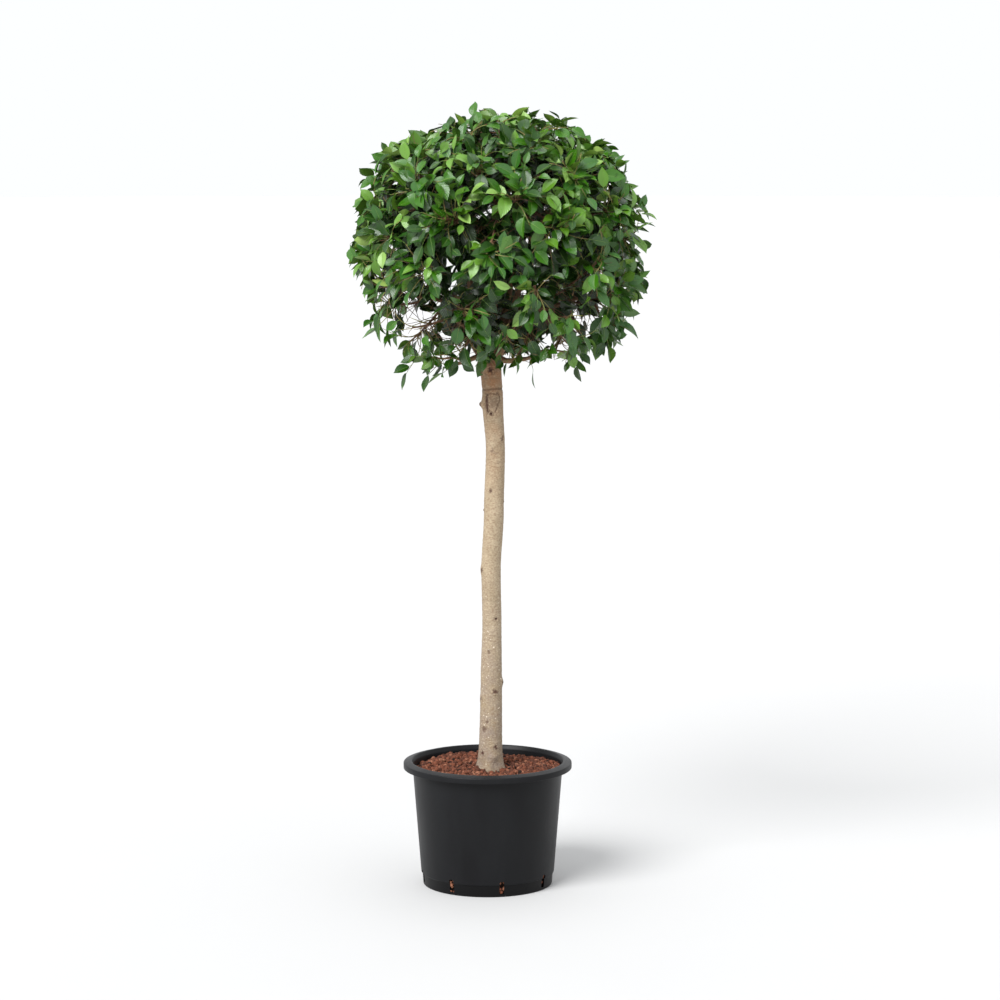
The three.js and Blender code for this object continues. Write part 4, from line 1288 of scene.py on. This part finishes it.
def rib_strips(folds, side, face):
    """A raised pale midrib on each leaf: a narrow roof along the fold that runs out at the tip."""
    total, rows = len(folds), folds.shape[1] - 1
    thin = RIB["half_width"] * (1 - 0.8 * LEAF_STATIONS[:rows])[None, :, None]
    line = folds[:, :rows] + RIB["lift"] * face[:, None]
    ridge = line + RIB["height"] * face[:, None]
    points = np.stack([line - thin * side[:, None], ridge, line + thin * side[:, None]], axis=2)
    row, column = np.meshgrid(np.arange(rows - 1), [0, 1], indexing="ij")
    corner = (row * 3 + column).ravel()
    quads = np.stack([corner, corner + 3, corner + 4, corner + 1], axis=-1)
    return points.reshape(-1, 3), [many(quads, total, rows * 3)]


def build_wood(settings, plans, rng):
    """The shoots and bare twigs, which stand for every foliage node. Gives the courses of leafy twigs.

    Shoots count twice where bare twigs fork off, so most of those leave a shoot.
    """
    shoots, stems = grow_shoots(plans, SHOOT_RINGS), bough_paths(plans, SHOOT_RINGS)[1]
    parents = np.concatenate([shoots[:, 1:], stems[:, 1:]])
    twigs = grow_twigs(parents, settings, rng, TWIG_RINGS)
    shoots_twice = np.concatenate([parents, shoots[:, 1:]])
    bare = grow_bare_twigs(shoots_twice, settings.bare_twigs, rng, BARE_TWIG_RINGS)
    open_air = open_to_sky(bare[:, -2], rng) | open_to_sky(bare[:, -1], rng)
    bare = bare[~open_air | every_third(len(bare))]
    wood = joined([tapered(shoots, SHOOT_RADII, 6), tapered(bare, BARE_TWIG_RADII, 3)])
    brown = twig_material("twig_bark_finish", settings.twig_dark, settings.twig_light)
    coarse = add_piece("shoots_and_bare_twigs", *wood, brown, "young_bark")
    names = [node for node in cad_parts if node.startswith("foliage_")]
    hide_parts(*names)
    return twigs


def plan_leaves(twigs, settings, rng):
    """Every leaf that could grow: what blades needs of it, its stalk's course, its root and its twig."""
    root, ahead, turn, number, twig = leaf_sites(twigs, settings, rng)
    along, side, face = aim_leaves(root, ahead, turn, number, rng)
    total = len(root)
    length = settings.leaf_length * rng.uniform(0.64, 1.16, total)
    length = np.where(number == 0, 0.86 * length, length)
    length = np.where(twig < settings.twigs, length, SPRAY_LEAF * settings.leaf_length)
    width = length * settings.leaf_slimness * rng.uniform(0.88, 1.12, total)
    stalk = rng.uniform(*STALK_LENGTHS, total)[:, None]
    foot = root + unit(along + 0.6 * ahead) * stalk
    stalks = bezier(root, root + 0.6 * stalk * ahead, foot, np.linspace(0, 1, STALK_RINGS))
    return (foot, along, side, face, length, width), stalks, root, twig


def kept_leaves(foot, run, sprayed, settings, rng):
    """True for a leaf inside the clipped outline and off the open sky, or on a spray, and near the box."""
    kept = head_share(foot + run) < settings.furthest_tip
    for share in (0.0, 0.35, 0.7):
        kept &= ~open_to_sky(foot + share * run, rng)
    kept |= sprayed
    low, high = (np.array(corner) for corner in CAD_BOX)
    for share, margin in BOX_MARGINS:
        place = foot + share * run
        kept &= ((place > low - margin) & (place < high + margin)).all(axis=1)
    return kept


def deal_tints(twigs, root, twig, settings, rng):
    """Each leaf's tint: its twig's, deeper low down, paler high up, darkest inside, and some swapped.

    Deeper and darkest are painted shade, paler is painted light from above.
    """
    shares = [share for *_, share in TINTS]
    tips = twigs[:, -1, 2]
    spray = rng.choice(len(TINTS), len(twigs), p=shares)
    # Low twigs mostly take the deep or the full tint: painted shade low in the head
    deeper = (tips < DEEPER_BELOW) & (rng.random(len(twigs)) < DEEPER_SHARE)
    spray = np.where(deeper, spray % 2, spray)
    # High twigs turn paler: painted light from above
    paler = (tips > PALER_ABOVE) & (rng.random(len(twigs)) < PALER_SHARE)
    spray = np.where(paler, PALER_TINT[spray], spray)
    spray[settings.twigs:] = [tint for *_, tint in SPRAYS]
    # Leaves deep inside take the darkest tint: painted shade, with the darker colour of older leaves
    tint = np.where(head_share(root) < INNER_SHARE, INNER_TINT, spray[twig])
    swapped = rng.random(len(root)) < SWAPPED_SHARE
    swapped &= (twig < settings.twigs) & (tint != INNER_TINT)
    return np.where(swapped, rng.choice(len(TINTS), len(root), p=shares), tint)


def build_foliage(settings, plans):
    """Shoots, twigs, stalks and leaves, joined by kind and tint."""
    rng = np.random.default_rng(settings.seed)
    twigs = build_wood(settings, plans, rng)
    leaves, stalks, root, twig = plan_leaves(twigs, settings, rng)
    foot, along, _, _, length, _ = leaves
    kept = kept_leaves(foot, along * length[:, None], twig >= settings.twigs, settings, rng)
    leafy = np.bincount(twig[kept], minlength=len(twigs)) > 0
    leafy = twigs[leafy | every_third(len(twigs))]
    green = twig_material("green_twig_finish", settings.twig_light, settings.twig_green, 0.6)
    add_piece("leafy_twigs", *tapered(leafy, TWIG_RADII, 3), green, "foliage")
    tint = deal_tints(twigs, root, twig, settings, rng)
    grown = []
    for i, (name, upper, under, _) in enumerate(TINTS):
        given = [values[kept & (tint == i)] for values in leaves]
        points, faces, uv, folds = blades(*given, rng)
        finish = leaf_material(name + "_finish", upper, under, settings.leaf_gloss)
        add_piece(name, points, faces, finish, "foliage", uv=uv)
        grown.append((folds, given[2], given[3]))
    pale = twig_material("midrib_finish", settings.rib_dark, settings.rib_light, 0.5)
    strips = rib_strips(*(np.concatenate(values) for values in zip(*grown)))
    add_piece("leaf_midribs", *strips, pale, "foliage")
    add_piece("leaf_stalks", *tapered(stalks[kept], [STALK_RADIUS] * 2, 3), pale, "foliage")


# ---------------------------------------------------------------- stage


# Soft far lamps: name, place, angle over which the light spreads, and the setting with its strength
LAMPS = [
    ("key_lamp", (-3.2, -4.2, 5.6), math.radians(34), "key_power"),
    ("fill_lamp", (4.5, -4.0, 2.6), math.radians(60), "fill_power"),
    ("rim_lamp", (0.5, 3.5, 5.0), math.radians(60), "rim_power"),
]
LAMP_AIM = np.array([0.0, 0.0, 1.2])
FLOOR_RADIUS = 60.0
SENSOR_WIDTH = 36.0


def build_stage(settings):
    """A pale floor, a bright even surround, three soft far lamps and the camera at the photo's angle."""
    work = bmesh.new()
    bmesh.ops.create_circle(work, cap_ends=True, radius=FLOOR_RADIUS, segments=96)
    mesh = bpy.data.meshes.new("floor")
    work.to_mesh(mesh)
    work.free()
    mesh.materials.append(floor_material(settings))
    new_object("floor", mesh)

    scene = bpy.context.scene
    world = bpy.data.worlds.new("surround")
    world.use_nodes = True
    background = world.node_tree.nodes["Background"]
    background.inputs["Color"].default_value = (*settings.surround, 1.0)
    background.inputs["Strength"].default_value = settings.surround_strength
    scene.world = world
    scene.view_settings.view_transform = "Standard"
    scene.view_settings.exposure = settings.exposure
    for name, place, spread, strength in LAMPS:
        data = bpy.data.lights.new(name, "SUN")
        data.angle = spread
        data.energy = getattr(settings, strength)
        lamp = new_object(name, data)
        x, y, z = LAMP_AIM - place
        lamp.location = place
        lamp.rotation_euler = (math.atan2(math.hypot(x, y), -z), 0, math.atan2(-x, y))
    data = bpy.data.cameras.new("photo_camera")
    data.lens = settings.lens
    data.sensor_width = SENSOR_WIDTH
    camera = new_object("photo_camera", data)
    camera.location = (settings.camera_x, -settings.camera_distance, settings.camera_height)
    camera.rotation_euler = (math.pi / 2 - settings.camera_pitch, 0, 0)
    scene.camera = camera


# ---------------------------------------------------------------- settings


def length_property(name, description, default):
    """A length in metres."""
    return bpy.props.FloatProperty(
        name=name, description=description, default=default, min=0.0, subtype="DISTANCE", unit="LENGTH",
        precision=4,
    )


def colour_property(name, description, default):
    """A colour in Blender's linear values."""
    return bpy.props.FloatVectorProperty(
        name=name, description=description, default=default, size=3, min=0.0, max=1.0, subtype="COLOR"
    )


def number_property(name, description, default):
    """A plain number without a unit."""
    return bpy.props.FloatProperty(name=name, description=description, default=default, min=0.0)


def count_property(name, description, default):
    """A whole number of things."""
    return bpy.props.IntProperty(name=name, description=description, default=default, min=0)


class PotSettings(bpy.types.PropertyGroup):
    """Finish of the nursery pot."""

    sides: count_property("Sides", "Sides of the turned pot", 192)
    plastic: colour_property("Plastic", "Colour of the clean plastic", srgb(12, 12, 14))
    dust: colour_property("Dust", "Colour of the dusty plastic", srgb(19, 20, 22))


class GranuleSettings(bpy.types.PropertyGroup):
    """Number, size and colours of the lava granules."""

    granules: count_property("Granules", "Number of granules on the bed", 2050)
    granule_size: length_property("Granule size", "Mean width of a granule", 0.0118)
    red: colour_property("Red", "Colour of most granules", srgb(107, 64, 48))
    brown: colour_property("Brown", "Colour of browner granules", srgb(84, 52, 41))
    dark: colour_property("Dark", "Colour of the darkest granules", srgb(38, 27, 23))
    # Dark soil, and painted shade for the gaps between granules and behind the drain slots
    soil: colour_property("Soil", "Colour of the dark soil under the granules", srgb(30, 18, 14))
    pale: colour_property("Pale", "Colour of the palest granules", srgb(134, 90, 70))


class StemSettings(bpy.types.PropertyGroup):
    """Relief and colours of the stem and boughs."""

    sides: count_property("Sides", "Points round the stem", 150)
    relief: length_property("Relief", "Height of the bark's ripples", 0.00032)
    bark_low: colour_property("Bark", "Darker colour of the bark", srgb(138, 122, 98))
    bark_high: colour_property("Pale bark", "Paler colour of the bark", srgb(162, 146, 122))
    bark_top: colour_property("Top bark", "Browner bark under the head", srgb(150, 100, 62))
    bark_grey: colour_property("Grey bark", "Greyer bark towards the foot", srgb(130, 117, 106))
    bark_pore: colour_property("Pores", "Colour of the pores", srgb(118, 92, 68))
    bark_fleck: colour_property("Flecks", "Colour of the pale flecks", srgb(190, 172, 144))
    bark_lenticel: colour_property("Lenticels", "Colour of the pale raised pores", srgb(226, 214, 196))
    bark_scar: colour_property("Scars", "Colour of pits and old cuts", srgb(62, 32, 22))
    bough_dark: colour_property("Bough dark", "Darker bark of the boughs", srgb(92, 66, 46))
    bough_light: colour_property("Bough light", "Paler bark of the boughs", srgb(140, 108, 78))


class FoliageSettings(bpy.types.PropertyGroup):
    """Number, sizes and colours of twigs and leaves."""

    seed: count_property("Seed", "Seed of everything that grows at random", 5)
    twigs: count_property("Twigs", "Number of leafy twigs", 1500)
    bare_twigs: count_property("Bare twigs", "Number of leafless inner twigs", 850)
    leaves_each: count_property("Leaves a twig", "Most leaves on one twig", 5)
    leaf_pitch: length_property("Leaf pitch", "Distance between leaves along a twig", 0.015)
    leaf_length: length_property("Leaf length", "Mean length of a blade", 0.054)
    leaf_slimness: number_property("Leaf width share", "Width of a blade as a share of its length", 0.56)
    leaf_gloss: number_property("Leaf roughness", "Roughness of the upper face", 0.27)
    furthest_tip: number_property("Furthest tip", "Share of the outline that no leaf passes", 1.075)
    twig_dark: colour_property("Twig dark", "Darker colour of bare twigs", srgb(64, 42, 30))
    twig_light: colour_property("Twig light", "Paler colour of bare twigs", srgb(116, 82, 56))
    twig_green: colour_property("Twig green", "Colour of leafy twigs near the tip", srgb(126, 132, 66))
    rib_dark: colour_property("Rib dark", "Darker colour of ribs and stalks", srgb(84, 118, 44))
    rib_light: colour_property("Rib light", "Paler colour of ribs and stalks", srgb(122, 148, 70))


class StageSettings(bpy.types.PropertyGroup):
    """Camera, floor and light."""

    camera_x: bpy.props.FloatProperty(
        name="Camera aside", description="How far the camera stands to the right", default=EYE[0],
        unit="LENGTH",
    )
    camera_distance: length_property("Camera distance", "How far the camera stands in front", -EYE[1])
    camera_height: length_property("Camera height", "Height of the camera", EYE[2])
    camera_pitch: bpy.props.FloatProperty(
        name="Camera pitch", description="How far the camera looks down", default=math.radians(7.1),
        unit="ROTATION",
    )
    lens: number_property("Lens", "Focal length in millimetres on a 36 mm sensor", 115.2)
    floor: colour_property("Floor", "Colour of the floor", (0.50, 0.50, 0.50))
    surround: colour_property("Surround", "Colour of the even light", (0.97, 0.985, 1.0))
    surround_strength: number_property("Surround strength", "Strength of the even light", 0.66)
    key_power: number_property("Key", "Strength of the soft key light from the upper left", 2.86)
    fill_power: number_property("Fill", "Strength of the soft light from the right", 0.25)
    rim_power: number_property("Rim", "Strength of the soft light from behind", 0.25)
    exposure: number_property("Exposure", "Brightness of the picture in stops", 0.62)


# ---------------------------------------------------------------- operators


class TOPIARY_OT_pot(bpy.types.Operator):
    """Make the nursery pot"""

    bl_idname = "topiary.pot"
    bl_label = "Pot"

    def execute(self, context):
        build_pot(context.scene.topiary_pot)
        return {"FINISHED"}


class TOPIARY_OT_granules(bpy.types.Operator):
    """Make the bed of lava granules"""

    bl_idname = "topiary.granules"
    bl_label = "Granules"

    def execute(self, context):
        build_bed(context.scene.topiary_granules)
        build_granules(context.scene.topiary_granules)
        return {"FINISHED"}


class TOPIARY_OT_stem(bpy.types.Operator):
    """Make the stem's bark"""

    bl_idname = "topiary.stem"
    bl_label = "Stem"

    def execute(self, context):
        build_trunk(context.scene.topiary_stem)
        return {"FINISHED"}


class TOPIARY_OT_boughs(bpy.types.Operator):
    """Make the boughs and the leader"""

    bl_idname = "topiary.boughs"
    bl_label = "Boughs"

    def execute(self, context):
        build_boughs(context.scene.topiary_stem, plan_boughs())
        return {"FINISHED"}


class TOPIARY_OT_foliage(bpy.types.Operator):
    """Make the twigs and leaves of the clipped head"""

    bl_idname = "topiary.foliage"
    bl_label = "Foliage"

    def execute(self, context):
        build_foliage(context.scene.topiary_foliage, plan_boughs())
        return {"FINISHED"}


class TOPIARY_OT_stage(bpy.types.Operator):
    """Make the floor, the light and the camera"""

    bl_idname = "topiary.stage"
    bl_label = "Stage"

    def execute(self, context):
        build_stage(context.scene.topiary_stage)
        return {"FINISHED"}


class TOPIARY_PT_panel(bpy.types.Panel):
    """Lists the topiary's pieces and their settings"""

    bl_idname = "TOPIARY_PT_panel"
    bl_label = "Topiary"
    bl_space_type = "VIEW_3D"
    bl_region_type = "UI"
    bl_category = "Topiary"

    def draw(self, context):
        for operator, group in PANEL_ROWS:
            box = self.layout.box()
            box.operator(operator.bl_idname)
            settings = getattr(context.scene, group)
            for name in settings.__annotations__:
                box.prop(settings, name)


SETTINGS = {
    "topiary_pot": PotSettings,
    "topiary_granules": GranuleSettings,
    "topiary_stem": StemSettings,
    "topiary_foliage": FoliageSettings,
    "topiary_stage": StageSettings,
}
PANEL_ROWS = [
    (TOPIARY_OT_pot, "topiary_pot"),
    (TOPIARY_OT_granules, "topiary_granules"),
    (TOPIARY_OT_stem, "topiary_stem"),
    (TOPIARY_OT_boughs, "topiary_stem"),
    (TOPIARY_OT_foliage, "topiary_foliage"),
    (TOPIARY_OT_stage, "topiary_stage"),
]
CLASSES = [*SETTINGS.values(), *(operator for operator, _ in PANEL_ROWS), TOPIARY_PT_panel]


def register():
    """Adds the classes and the settings that each scene keeps."""
    for each in CLASSES:
        bpy.utils.register_class(each)
    for name, group in SETTINGS.items():
        setattr(bpy.types.Scene, name, bpy.props.PointerProperty(type=group))


def unregister():
    """Takes the settings and the classes away again."""
    for name in SETTINGS:
        delattr(bpy.types.Scene, name)
    for each in reversed(CLASSES):
        bpy.utils.unregister_class(each)


def main():
    """Makes every piece in order."""
    register()
    bpy.ops.topiary.pot()
    bpy.ops.topiary.granules()
    bpy.ops.topiary.stem()
    bpy.ops.topiary.boughs()
    bpy.ops.topiary.foliage()
    bpy.ops.topiary.stage()


if __name__ == "__main__":
    main()
